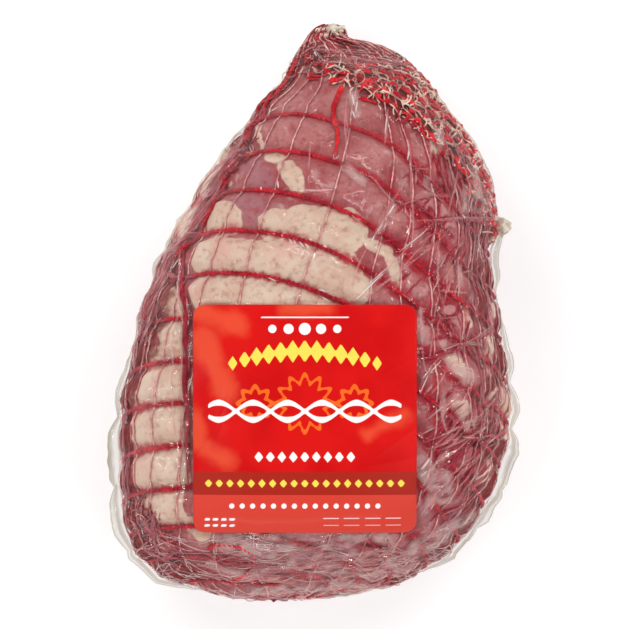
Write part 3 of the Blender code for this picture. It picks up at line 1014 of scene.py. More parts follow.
# Which way the film's tension runs: place, angle from +X in degrees, and reach.
TENSION = (
    (60.0, -70.0, 55.0, 26.0),
    (50.0, -45.0, 48.0, 22.0),
    (74.0, -26.0, 102.0, 16.0),
    (70.0, -50.0, 40.0, 14.0),
    (62.0, 0.0, 95.0, 20.0),
    (66.0, 35.0, 85.0, 20.0),
    (50.0, 55.0, 100.0, 20.0),
    (40.0, 25.0, 45.0, 20.0),
    (20.0, 60.0, 60.0, 22.0),
    (-20.0, 75.0, 50.0, 18.0),
    (-45.0, 45.0, 58.0, 18.0),
    (-64.0, -5.0, 76.0, 22.0),
    (-73.0, -60.0, 88.0, 26.0),
    (-60.0, -50.0, 84.0, 14.0),
    (-40.0, -102.0, -18.0, 22.0),
    (0.0, -104.0, 8.0, 24.0),
    (38.0, -98.0, 28.0, 22.0),
    (-10.0, 20.0, 70.0, 22.0),
    (18.0, 99.0, -12.0, 12.0),
    (40.0, 88.0, -42.0, 12.0),
)


def tension_at(x, y):
    """The angle in which the film is drawn here."""
    total = 0.0 + 0.0j
    for px, py, angle, reach in TENSION:
        share = math.exp(-((x - px) ** 2 + (y - py) ** 2) / reach**2) + 1e-6
        total += share * complex(math.cos(math.radians(2 * angle)), math.sin(math.radians(2 * angle)))
    return 0.5 * math.atan2(total.imag, total.real)


def knots_of_net():
    """Where ring cords cross lengthwise threads."""
    made = []
    for k in range(CORD_COUNT):
        m, p = ring_route(CORD_FIRST + k * CORD_PITCH)
        for start in THREAD_SHARES:
            gap = np.abs(p - thread_share(start, m))
            if np.isnan(gap).all():
                continue
            n = int(np.nanargmin(gap))
            if gap[n] < 0.02:
                made.append((float(m[n]), float(p[n])))
    return made


def between(x0, y0, x1, y1, height, width, bow, sharp):
    """A crease between two places of the top."""
    (m0, m1), (p0, p1) = place((x0, x1), (y0, y1))
    girth = read(SKIN.girth, m0, p0)
    across, down = (p1 - p0) * girth, m1 - m0
    return Crease(m0, p0, math.atan2(-down, across), math.hypot(across, down), height, width, bow, sharp)


def knot_creases(rng):
    """Short creases off the net's knots."""
    made = []
    for m, p in knots_of_net():
        busy = read(BUSY, m, p)
        if rng.random() < 0.6 - 0.4 * busy:
            continue
        base = tension_at(*seen_place(m, p))
        for _ in range(rng.integers(2, 4 + round(2 * busy))):
            angle = base + rng.choice((0.0, math.pi)) + rng.normal(0.0, 0.7)
            length = rng.uniform(3.5, 9.0 + 5.0 * busy)
            height, width = rng.uniform(0.15, 0.45), rng.uniform(0.38, 0.6)
            made.append(Crease(m, p, angle, length, height, width, rng.normal(0, 0.04), height > 0.38))
    return made


def star_creases(rng):
    """Stars of creases at places of their own."""
    made = []
    for x, y, rays, reach in STARS:
        m, p = place(x, y)
        for n in range(rays):
            angle = 2 * math.pi * (n + rng.uniform(-0.3, 0.3)) / rays
            length = reach * rng.uniform(0.5, 1.1)
            bow = rng.normal(0, 0.04)
            made.append(Crease(float(m), float(p), angle, length, 0.55, 0.55, bow, n % 3 == 0))
    return made


def scattered_creases(rng):
    """Broad folds and fine creases, most of them where the film is crumpled."""
    made = []
    for count, shortest, longest, low, high, thin, thick, spread in FAMILIES:
        for _ in range(count):
            m, p = rng.uniform(8.0, LENGTH - 8.0), rng.uniform(0.0, 2.0)
            if rng.random() > 0.07 + 0.93 * read(BUSY, m, p):
                continue
            angle = tension_at(*seen_place(m, p)) + rng.normal(0.0, spread)
            length = rng.uniform(shortest, longest)
            height, width = rng.uniform(low, high), rng.uniform(thin, thick)
            sharp = height > 0.75 * high and rng.random() < 0.25
            made.append(Crease(m, p, angle, length, height, width, rng.normal(0, 0.05), sharp))
    return made


def long_folds():
    """Long folds, each with a lower one beside it."""
    made = []
    for x0, y0, x1, y1, height, bow in LONG_FOLDS:
        made.append(between(x0, y0, x1, y1, height, 0.7, bow, True))
        made.append(between(x0 + 1.2, y0 - 1.0, x1 + 0.8, y1 - 0.6, 0.5 * height, 0.5, bow, False))
    return made


def creases(rng):
    """Every crease that stands up from the film."""
    return knot_creases(rng) + star_creases(rng) + scattered_creases(rng) + long_folds()


def scattered(rng, zones):
    """Streaks along the film's tension, scattered about the line of each zone."""
    made = []
    for x0, y0, x1, y1, reach, count, spread, shortest, longest, thin, thick in zones:
        for _ in range(count):
            t = rng.random()
            x = x0 + t * (x1 - x0) + rng.normal(0.0, 0.6) * reach
            y = y0 + t * (y1 - y0) + rng.normal(0.0, 0.6) * reach
            m, p = place(x, y)
            angle = tension_at(x, y) + math.radians(rng.normal(0.0, spread))
            length, width = rng.uniform(shortest, longest), rng.uniform(thin, thick)
            streak = Crease(float(m), float(p), angle, length, 0.0, width, rng.normal(0.0, 0.05))
            streak.m -= streak.step[0] / 2
            streak.p -= streak.step[1] / 2 / streak.girth
            made.append(streak)
    return made


def blood_lines(rng):
    """Runs of blood that gather under the film's folds."""
    made = scattered(rng, BLOOD_STREAKS)
    for _ in range(BLOOD_LINES):
        m, p = rng.uniform(12.0, LENGTH - 8.0), rng.uniform(0.0, 2.0)
        if rng.random() > read(BUSY, m, p):
            continue
        angle = tension_at(*seen_place(m, p)) + rng.normal(0.0, 0.22)
        length, width = rng.uniform(6.0, 20.0), rng.uniform(0.3, 0.7)
        made.append(Crease(m, p, angle, length, 0.0, width, rng.normal(0, 0.05)))
    made += [between(*ends, 0.0, width, 0.03, False) for *ends, width in BLOOD_RUNS]
    for x, y, rays, reach in STARS:
        m, p = place(x, y)
        for n in range(0, rays, 2):
            angle = 2 * math.pi * (n + rng.uniform(0.2, 0.8)) / rays
            made.append(Crease(float(m), float(p), angle, reach * rng.uniform(0.6, 1.2), 0.0, 0.6))
    return made


# Streaks of blood, and pale streaks of the film, milky and partly painted sheen: from, to, reach to each
# side, how many, spread of the angle in degrees, shortest, longest, and half width.
BLOOD_STREAKS = (
    (-28.5, 70.0, -46.5, 32.0, 1.8, 60, 7.0, 8.0, 22.0, 0.35, 0.8),
    (-55.0, 22.0, -70.5, -14.0, 3.4, 110, 6.0, 8.0, 24.0, 0.3, 0.7),
    (-73.5, -4.0, -74.5, -88.0, 2.4, 60, 5.0, 10.0, 30.0, 0.35, 0.9),
    (66.0, 28.0, 70.0, -44.0, 6.0, 70, 10.0, 8.0, 24.0, 0.4, 1.1),
    (48.0, -36.0, 60.0, -80.0, 9.0, 50, 9.0, 8.0, 24.0, 0.3, 0.9),
    (-40.0, -98.0, 44.0, -94.0, 6.0, 60, 14.0, 8.0, 26.0, 0.3, 0.7),
    (52.0, 62.0, 66.0, 30.0, 8.0, 60, 9.0, 6.0, 18.0, 0.3, 0.8),
    (-68.0, -74.0, -52.0, -98.0, 5.0, 60, 50.0, 4.0, 12.0, 0.3, 0.8),
    (44.0, 30.0, 56.0, -20.0, 9.0, 26, 40.0, 5.0, 14.0, 0.3, 0.7),
    (8.0, 101.0, 38.0, 94.0, 4.0, 26, 8.0, 5.0, 16.0, 0.3, 0.8),
)
# Pale streaks of the film: milky film and painted sheen.
MILKY_AND_SHEEN_STREAKS = (
    (-31.0, 67.0, -50.0, 31.0, 2.4, 26, 7.0, 6.0, 20.0, 0.25, 0.55),
    (-55.0, 24.0, -70.0, -12.0, 3.6, 50, 6.0, 7.0, 24.0, 0.2, 0.5),
    (-73.5, -4.0, -74.5, -88.0, 2.4, 9, 5.0, 6.0, 20.0, 0.25, 0.6),
    (66.0, 28.0, 70.0, -44.0, 6.0, 22, 10.0, 5.0, 18.0, 0.25, 0.7),
    (48.0, -36.0, 60.0, -80.0, 9.0, 26, 10.0, 5.0, 22.0, 0.25, 0.8),
    (-40.0, -97.0, 44.0, -93.0, 6.0, 60, 16.0, 5.0, 22.0, 0.2, 0.6),
    (52.0, 62.0, 66.0, 30.0, 8.0, 24, 9.0, 5.0, 16.0, 0.25, 0.6),
    (-68.0, -74.0, -52.0, -98.0, 5.0, 24, 60.0, 3.0, 9.0, 0.2, 0.5),
    (44.0, 30.0, 56.0, -20.0, 9.0, 16, 40.0, 5.0, 14.0, 0.25, 0.6),
    (8.0, 101.0, 38.0, 94.0, 4.0, 34, 8.0, 5.0, 16.0, 0.25, 0.6),
)

# Pale pleats of the film that stand out, milky and partly painted sheen and glints: from, to, half width and
# bow.
PLEATS_AND_SHEEN = (
    (37.0, 67.0, 37.6, 46.0, 0.55, 0.01),
    (37.6, 47.0, 37.8, 25.2, 0.60, -0.01),
    (48.4, 32.2, 48.9, 7.2, 0.50, 0.01),
    (48.9, 8.0, 46.8, -2.0, 0.50, 0.03),
    (55.4, 52.1, 50.9, 35.7, 0.55, 0.03),
    (55.0, 54.4, 53.8, 44.3, 0.40, 0.0),
    (44.7, 67.0, 45.5, 57.3, 0.45, 0.0),
    (52.1, 63.0, 53.3, 56.1, 0.50, 0.0),
    (55.8, 49.0, 56.4, 38.5, 0.35, 0.08),
    (60.4, 48.0, 59.6, 38.0, 0.35, -0.08),
    (28.7, 78.4, 27.5, 65.3, 0.60, 0.0),
    (13.3, 84.8, 13.8, 68.8, 0.40, 0.0),
    (-1.0, 65.9, -1.6, 54.4, 0.35, 0.0),
    (31.6, 42.3, 22.0, 27.1, 0.50, 0.02),
    (22.0, 27.1, 14.6, 5.0, 0.45, 0.05),
    (63.3, 32.2, 61.9, 12.3, 0.40, 0.02),
    (65.3, 29.8, 66.3, 17.4, 0.35, 0.0),
    (61.3, 7.2, 62.4, -0.2, 0.35, 0.0),
    (41.6, 3.5, 42.4, -12.0, 0.90, 0.03),
    (46.5, -7.0, 45.2, -17.0, 0.50, 0.0),
    (56.4, 23.0, 56.2, 7.0, 0.70, 0.02),
    (60.8, 23.6, 59.3, 7.2, 0.60, -0.02),
    (62.4, -48.7, 66.3, -36.3, 0.55, 0.03),
    (68.3, -45.7, 70.8, -38.3, 0.60, 0.0),
    (48.4, -52.7, 68.3, -40.8, 0.65, 0.03),
    (59.3, -67.7, 68.3, -45.2, 0.60, -0.02),
    (52.9, -83.0, 59.3, -67.7, 0.55, 0.02),
    (47.4, -76.1, 54.4, -67.6, 0.50, 0.0),
    (49.0, -33.0, 51.5, -46.0, 0.80, 0.05),
    (65.3, -57.1, 72.8, -49.2, 0.50, 0.0),
    (41.5, -78.0, 49.0, -66.0, 0.80, 0.04),
    (42.0, -70.0, 48.0, -60.0, 0.70, 0.04),
    (44.0, -62.0, 52.0, -52.0, 0.60, 0.0),
    (-12.2, -94.3, 4.0, -86.0, 0.40, 0.02),
    (-9.0, -95.0, 6.0, -87.0, 0.35, 0.0),
    (-19.6, -99.5, 6.1, -96.6, 1.10, 0.03),
    (6.4, -96.0, 24.0, -92.5, 1.00, -0.05),
    (14.0, -90.0, 24.0, -86.0, 0.90, 0.0),
    (18.0, -98.5, 30.0, -100.5, 0.90, 0.0),
    (31.0, -99.5, 39.0, -96.5, 1.10, 0.0),
    (-30.0, -108.5, -2.0, -110.5, 1.20, 0.02),
    (0.0, -110.0, 26.0, -105.0, 1.10, 0.02),
    (24.0, -104.0, 42.0, -97.5, 0.80, 0.02),
    (-50.7, 24.0, -51.0, -4.0, 0.55, 0.0),
    (-51.0, -6.0, -50.8, -34.0, 0.55, 0.0),
    (-50.8, -36.0, -50.4, -62.0, 0.50, 0.0),
    (10.0, 100.0, 30.0, 95.5, 0.55, -0.04),
    (8.0, 97.5, 26.0, 94.5, 0.45, -0.03),
    (14.0, 104.5, 31.0, 100.0, 0.50, -0.05),
    (30.0, 100.0, 44.0, 86.0, 0.50, -0.03),
    (18.0, 101.0, 36.0, 95.0, 0.40, -0.04),
    (0.5, 103.0, 4.5, 97.5, 0.55, 0.0),
)

# Bright glints on the film: from, to and half width.
GLINTS = (
    (-46.4, 8.6, -45.2, 11.0, 0.50),
    (-54.4, 17.6, -51.4, 21.0, 0.50),
    (-49.3, -2.0, -49.3, -4.0, 0.35),
    (-47.0, -17.4, -47.0, -20.0, 0.30),
    (-70.8, -12.4, -69.6, -9.8, 0.35),
    (-48.0, 37.0, -46.2, 40.0, 0.80),
    (-13.6, 51.2, -13.4, 48.4, 0.50),
    (-20.0, 49.0, -19.9, 47.6, 0.40),
    (-9.2, 28.6, -7.6, 26.6, 0.35),
    (-7.4, 28.2, -6.4, 26.2, 0.35),
    (-5.2, 27.4, -3.4, 25.2, 0.40),
    (-3.0, 26.6, -1.4, 24.6, 0.40),
    (-6.2, 24.8, -5.2, 23.2, 0.30),
    (-2.6, 23.8, -1.2, 22.0, 0.30),
    (2.0, 9.4, 5.6, 8.2, 0.35),
    (3.4, 6.4, 6.4, 4.6, 0.30),
    (1.8, 5.8, 2.4, 4.4, 0.30),
    (-17.2, 13.8, -14.0, 12.4, 0.30),
    (-11.6, 8.6, -10.2, 6.9, 0.28),
    (-17.6, 77.6, -12.6, 79.8, 0.35),
    (-20.2, 81.4, -18.6, 83.0, 0.35),
    (31.2, 41.6, 28.6, 37.6, 0.55),
    (27.0, 35.0, 24.4, 31.0, 0.45),
    (23.6, 29.8, 22.2, 27.2, 0.45),
    (44.0, 32.6, 33.0, 23.5, 0.30),
    (27.0, 15.5, 18.0, 7.0, 0.42),
    (29.0, 18.0, 20.0, 10.0, 0.30),
    (23.0, 11.5, 16.5, 5.4, 0.36),
    (41.3, -30.8, 44.6, -23.5, 0.42),
    (45.0, -23.0, 49.4, -18.2, 0.40),
    (41.6, -25.0, 46.0, -20.5, 0.30),
    (41.8, -60.0, 45.4, -55.6, 0.90),
    (41.6, -63.0, 44.0, -60.5, 0.60),
    (48.4, 2.8, 48.8, 1.4, 0.60),
    (57.5, 38.2, 57.9, 36.2, 0.55),
    (36.6, 13.0, 37.2, 11.2, 0.60),
    (30.2, 6.2, 30.8, 4.9, 0.50),
    (67.3, 4.3, 70.8, -2.5, 0.35),
    (28.4, 76.0, 27.8, 69.5, 0.35),
    (15.2, 84.5, 16.0, 80.5, 0.50),
    (17.2, 82.0, 16.6, 78.0, 0.50),
    (15.0, 79.0, 16.4, 75.8, 0.45),
    (37.0, 63.0, 36.4, 59.0, 0.40),
    (66.6, -50.4, 69.4, -47.6, 0.50),
    (-70.2, -79.6, -69.4, -81.6, 0.35),
    (-66.8, -83.2, -66.2, -86.0, 0.35),
    (-71.6, -73.6, -71.3, -75.8, 0.30),
    (-73.2, -42.0, -71.8, -42.4, 0.35),
    (47.0, -91.4, 49.4, -90.2, 0.45),
    (45.5, -76.0, 47.0, -73.6, 0.35),
    (4.4, 105.0, 6.2, 102.0, 0.45),
    (0.8, 101.6, 1.8, 99.4, 0.40),
)

# Families of creases: how many are tried, least and greatest length, height and half width, and spread
# of their angle.
FAMILIES = (
    (460, 9.0, 26.0, 0.25, 0.60, 0.65, 1.10, 0.22),
    (1400, 3.5, 12.0, 0.08, 0.26, 0.34, 0.55, 0.32),
)

# Stars of the film where the net is knotted: place, rays and their reach.
STARS = (
    (46.5, 35.5, 12, 12.0),
    (48.0, 18.0, 8, 7.0),
    (49.0, -2.0, 9, 8.0),
    (58.0, -11.5, 12, 10.0),
    (40.0, 56.0, 8, 8.0),
    (63.0, -48.0, 12, 9.0),
    (35.0, 42.0, 7, 8.0),
    (46.0, 46.0, 7, 8.0),
    (66.0, 20.0, 8, 7.0),
    (-66.0, -4.0, 8, 7.0),
    (-58.0, 22.0, 9, 7.0),
    (-30.0, 63.0, 9, 7.0),
    (30.0, -92.0, 8, 9.0),
)

# Broader runs of blood: from, to and half width.
BLOOD_RUNS = (
    (46.5, 36.0, 60.0, 37.5, 1.5),
    (58.0, 37.0, 71.0, 35.0, 1.5),
    (42.0, -17.5, 58.0, -12.0, 1.4),
    (58.0, -12.0, 70.0, -3.5, 1.6),
    (55.0, -8.0, 50.0, 0.0, 1.2),
    (44.0, 41.0, 47.0, 34.0, 1.6),
    (62.0, -30.0, 60.0, -48.0, 1.5),
    (64.0, -28.0, 68.0, -40.0, 1.5),
    (60.0, -48.0, 48.0, -58.0, 1.2),
    (66.0, 4.0, 72.0, -16.0, 1.5),
    (73.0, -10.0, 77.0, -28.0, 1.5),
    (62.0, -50.0, 76.0, -43.0, 1.6),
    (58.0, -66.0, 64.0, -52.0, 1.2),
    (50.0, -84.0, 58.0, -70.0, 1.3),
    (64.0, 50.0, 67.0, 38.0, 1.3),
    (40.0, 58.0, 42.0, 48.0, 1.4),
    (-20.0, -98.0, 16.0, -96.0, 1.2),
    (8.0, -88.0, 40.0, -94.0, 1.3),
    (-44.0, -92.0, -30.0, -95.0, 1.2),
    (-71.0, -74.0, -66.0, -90.0, 1.6),
    (-67.0, -76.0, -60.0, -90.0, 1.4),
    (-66.0, -92.0, -50.0, -99.0, 1.5),
    (-73.5, -20.0, -74.0, -50.0, 1.5),
    (-74.0, -40.0, -74.0, -72.0, 1.5),
    (-49.0, 28.0, -48.9, -2.0, 1.5),
    (-48.7, 14.0, -48.6, -22.0, 1.4),
    (-48.6, -8.0, -48.5, -44.0, 1.2),
    (-48.5, -30.0, -48.3, -68.0, 1.0),
    (-26.5, 73.0, -29.5, 64.0, 2.0),
    (-29.0, 66.0, -31.5, 54.0, 1.9),
    (-33.0, 53.0, -41.0, 39.0, 1.1),
    (-40.5, 40.0, -47.0, 30.0, 1.3),
    (-46.0, 32.0, -60.0, 18.5, 1.4),
    (-60.0, 17.5, -47.0, 14.5, 1.3),
)

# Long folds of the film: from, to, height and bow.
LONG_FOLDS = (
    (16.0, 5.0, 52.0, 32.0, 0.7, 0.03),
    (20.0, 6.0, 44.0, 29.0, 0.5, 0.05),
    (46.5, 35.5, 74.0, 34.5, 0.8, -0.04),
    (46.5, 35.5, 22.0, 9.0, 0.6, 0.02),
    (40.0, -17.0, 58.0, -11.0, 0.7, 0.05),
    (58.0, -11.5, 70.0, -3.0, 0.8, 0.0),
    (40.0, -29.0, 49.0, -17.0, 0.8, -0.08),
    (42.0, -50.0, 72.0, -30.0, 0.6, 0.03),
    (66.0, -52.0, 76.0, -44.0, 0.8, 0.0),
    (-12.0, -99.0, 34.0, -91.0, 0.7, 0.06),
    (0.0, -102.0, 46.0, -92.0, 0.6, 0.04),
    (22.0, 53.0, 33.0, 40.0, 0.5, 0.0),
    (31.0, 42.0, 22.5, 28.0, 0.7, 0.02),
    (30.2, 41.0, 23.0, 28.5, 0.5, 0.02),
    (17.0, 3.0, 46.0, 34.0, 0.8, 0.08),
    (19.5, 4.0, 46.0, 33.0, 0.7, 0.05),
    (-50.9, 24.0, -51.2, -4.0, 0.6, 0.0),
    (-51.1, -8.0, -50.8, -34.0, 0.6, 0.0),
    (-46.9, -30.0, -47.0, -62.0, 0.6, 0.0),
    (40.5, -28.0, 50.0, -14.5, 0.8, -0.1),
    (41.0, -30.0, 51.0, -15.5, 0.7, -0.12),
    (-56.0, 26.0, -66.0, -6.0, 0.6, 0.03),
    (-60.0, 22.0, -71.0, -16.0, 0.7, 0.02),
    (-72.0, -20.0, -74.5, -78.0, 0.7, 0.01),
    (-51.0, 12.0, -51.5, -60.0, 0.6, 0.0),
    (-31.0, 60.0, -58.0, 20.0, 0.6, 0.02),
    (13.5, 83.0, 13.0, 60.0, 0.4, 0.02),
)


# Making pieces

def deselect():
    """Leaves edit mode with nothing selected."""
    if bpy.context.object and bpy.context.object.mode != "OBJECT":
        bpy.ops.object.mode_set(mode="OBJECT")
    bpy.ops.object.select_all(action="DESELECT")


def mark_points(mesh, fields):
    """Stores these fields as attributes of the mesh's points."""
    for key, values in fields.items():
        stored = mesh.attributes.new(key, "FLOAT", "POINT").data
        stored.foreach_set("value", values.astype(np.float32).ravel())


def sheet_piece(name, points, fields, sewn=False, uv=None):
    """A grid primitive moved onto rows of points, in millimetres. Sewn closes its seam and poles."""
    deselect()
    rows, columns = points.shape[:2]
    bpy.ops.mesh.primitive_grid_add(x_subdivisions=columns - 1, y_subdivisions=rows - 1, size=1.0)
    piece = bpy.context.object
    piece.name = piece.data.name = name
    mesh = piece.data
    mesh.vertices.foreach_set("co", (points * MM).astype(np.float32).ravel())
    mark_points(mesh, fields)
    if uv is not None:
        corner = np.zeros(len(mesh.loops), np.int32)
        mesh.loops.foreach_get("vertex_index", corner)
        mesh.uv_layers[0].data.foreach_set("uv", uv.reshape(-1, 2)[corner].astype(np.float32).ravel())
    mesh.update()
    if sewn:
        bpy.ops.object.mode_set(mode="EDIT")
        bpy.ops.mesh.select_all(action="SELECT")
        bpy.ops.mesh.remove_doubles(threshold=0.00001)
        bpy.ops.object.mode_set(mode="OBJECT")
    bpy.ops.object.shade_smooth()
    return piece


def mesh_piece(name, vertices, faces, fields):
    """A piece of these vertices, in millimetres, and faces."""
    mesh = bpy.data.meshes.new(name)
    mesh.from_pydata((vertices * MM).tolist(), [], faces)
    mark_points(mesh, fields)
    piece = bpy.data.objects.new(name, mesh)
    bpy.context.scene.collection.objects.link(piece)
    return piece


def strand_piece(name, strands, sides, floor):
    """One mesh of all these strands."""
    piece = mesh_piece(name, *tubes(strands, sides, floor), {})
    piece.data.shade_smooth()
    return piece


def settle(piece, material, slot, *replaced):
    """Gives a finished piece its material and its body; the slot is not used."""
    piece.data.materials.clear()
    piece.data.materials.append(material)
    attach(piece, "root")
    if replaced:
        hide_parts(*replaced)
    return piece


def up_and_over(field, rows, columns):
    """A field of the grid on these rows and columns, from the blunt end to the tail, so faces point out."""
    return field[rows[::-1]][:, columns % COLUMNS]


# Building materials from nodes

def put(tree, kind, inputs=None, **settings):
    """A node with these settings, whose inputs take a socket or a constant."""
    made = tree.nodes.new(kind)
    for key, value in settings.items():
        setattr(made, key, value)
    for key, value in (inputs or {}).items():
        if isinstance(value, bpy.types.NodeSocket):
            tree.links.new(value, made.inputs[key])
        else:
            made.inputs[key].default_value = value
    return made


def sums(tree, operation, a, b=0.0, clamp=False):
    """Two values put together."""
    return put(tree, "ShaderNodeMath", {0: a, 1: b}, operation=operation, use_clamp=clamp).outputs[0]


def ease(tree, value, low, high, to_low=0.0, to_high=1.0):
    """A value eased from one range to another."""
    inputs = {"Value": value, "From Min": low, "From Max": high, "To Min": to_low, "To Max": to_high}
    return put(tree, "ShaderNodeMapRange", inputs, interpolation_type="SMOOTHSTEP").outputs["Result"]


def blend(tree, factor, a, b, kind="MIX"):
    """Two colours mixed."""
    a = (*a, 1.0) if isinstance(a, tuple) else a
    b = (*b, 1.0) if isinstance(b, tuple) else b
    return put(tree, "ShaderNodeMix", {0: factor, 6: a, 7: b}, data_type="RGBA", blend_type=kind).outputs[2]


def noise(tree, vector, size, detail=2.0, roughness=0.5, distortion=0.0):
    """Soft noise with features of this size."""
    inputs = {
        "Vector": vector, "Scale": 1.0 / size, "Detail": detail, "Roughness": roughness,
        "Distortion": distortion,
    }
    return put(tree, "ShaderNodeTexNoise", inputs).outputs["Fac"]


def millimetres(tree):
    """The place on the object, in millimetres."""
    where = put(tree, "ShaderNodeTexCoord").outputs["Object"]
    return put(tree, "ShaderNodeVectorMath", {0: where, "Scale": 1000.0}, operation="SCALE").outputs[0]


def reading(tree, name):
    """The value of a field that the mesh carries."""
    return put(tree, "ShaderNodeAttribute", attribute_name=name).outputs["Fac"]


def fresh(name):
    """A new material, its node tree and its shader."""
    material = bpy.data.materials.new(name)
    material.use_nodes = True
    tree = material.node_tree
    return material, tree, tree.nodes["Principled BSDF"]


def fresh_group(name, takes, gives):
    """A new shader node group with these inputs, by name and usual value, and these outputs."""
    group = bpy.data.node_groups.new(name, "ShaderNodeTree")
    for key, usual in takes.items():
        kind = "NodeSocketVector" if usual is None else "NodeSocketFloat"
        socket = group.interface.new_socket(key, in_out="INPUT", socket_type=kind)
        if usual is not None:
            socket.default_value = usual
    for key in gives:
        group.interface.new_socket(key, in_out="OUTPUT", socket_type="NodeSocketFloat")
    return group, put(group, "NodeGroupInput").outputs, put(group, "NodeGroupOutput").inputs


def ragged_group():
    """Turns a field in millimetres into a mask with a ragged edge."""
    group, takes, gives = fresh_group(
        "ragged_edge", {"Place": None, "Field": 0.0, "Wander": 1.5, "Size": 3.0, "Softness": 0.5}, ("Mask",)
    )
    scale = sums(group, "DIVIDE", 1.0, takes["Size"])
    texture = put(group, "ShaderNodeTexNoise", {"Vector": takes["Place"], "Scale": scale, "Detail": 3.0})
    off = sums(group, "MULTIPLY", sums(group, "SUBTRACT", texture.outputs["Fac"], 0.5), takes["Wander"])
    field = sums(group, "ADD", takes["Field"], sums(group, "MULTIPLY", off, 2.0))
    low = sums(group, "MULTIPLY", takes["Softness"], -1.0)
    group.links.new(ease(group, field, low, takes["Softness"]), gives["Mask"])
    return group


def wrinkle_group():
    """Fine wrinkles of thin film: ridges along the edges of warped cells, over a soft sway."""
    group, takes, gives = fresh_group("fine_wrinkles", {"Place": None, "Size": 3.0}, ("Height",))
    scale = sums(group, "DIVIDE", 1.0, takes["Size"])
    warp = put(group, "ShaderNodeTexNoise", {"Vector": takes["Place"], "Scale": scale, "Detail": 2.0})
    shift = put(
        group, "ShaderNodeVectorMath", {0: warp.outputs["Color"], "Scale": 4.0}, operation="SCALE"
    ).outputs[0]
    moved = put(group, "ShaderNodeVectorMath", {0: takes["Place"], 1: shift}, operation="ADD").outputs[0]
    cells = put(
        group, "ShaderNodeTexVoronoi", {"Vector": moved, "Scale": sums(group, "MULTIPLY", scale, 0.6)},
        feature="DISTANCE_TO_EDGE",
    ).outputs["Distance"]
    ridge = ease(group, cells, 0.0, 0.16, 1.0, 0.0)
    sway = sums(group, "MULTIPLY", warp.outputs["Fac"], 0.8)
    group.links.new(sums(group, "ADD", sway, sums(group, "MULTIPLY", ridge, 0.5)), gives["Height"])
    return group


RAGGED = ragged_group()
WRINKLES = wrinkle_group()


def use_group(tree, group, inputs):
    """A placed node group with these inputs."""
    return put(tree, "ShaderNodeGroup", inputs, node_tree=group).outputs


def bumped(tree, shader, strength, distance, height):
    """Gives the shader's surface a fine relief."""
    bump = put(tree, "ShaderNodeBump", {"Strength": strength, "Distance": distance, "Height": height})
    tree.links.new(bump.outputs[0], shader.inputs["Normal"])


def mask(tree, where, field, wander, size, softness=0.5):
    """A ragged mask where the field is above zero."""
    inputs = {"Place": where, "Field": field, "Wander": wander, "Size": size, "Softness": softness}
    return use_group(tree, RAGGED, inputs)["Mask"]


# Materials

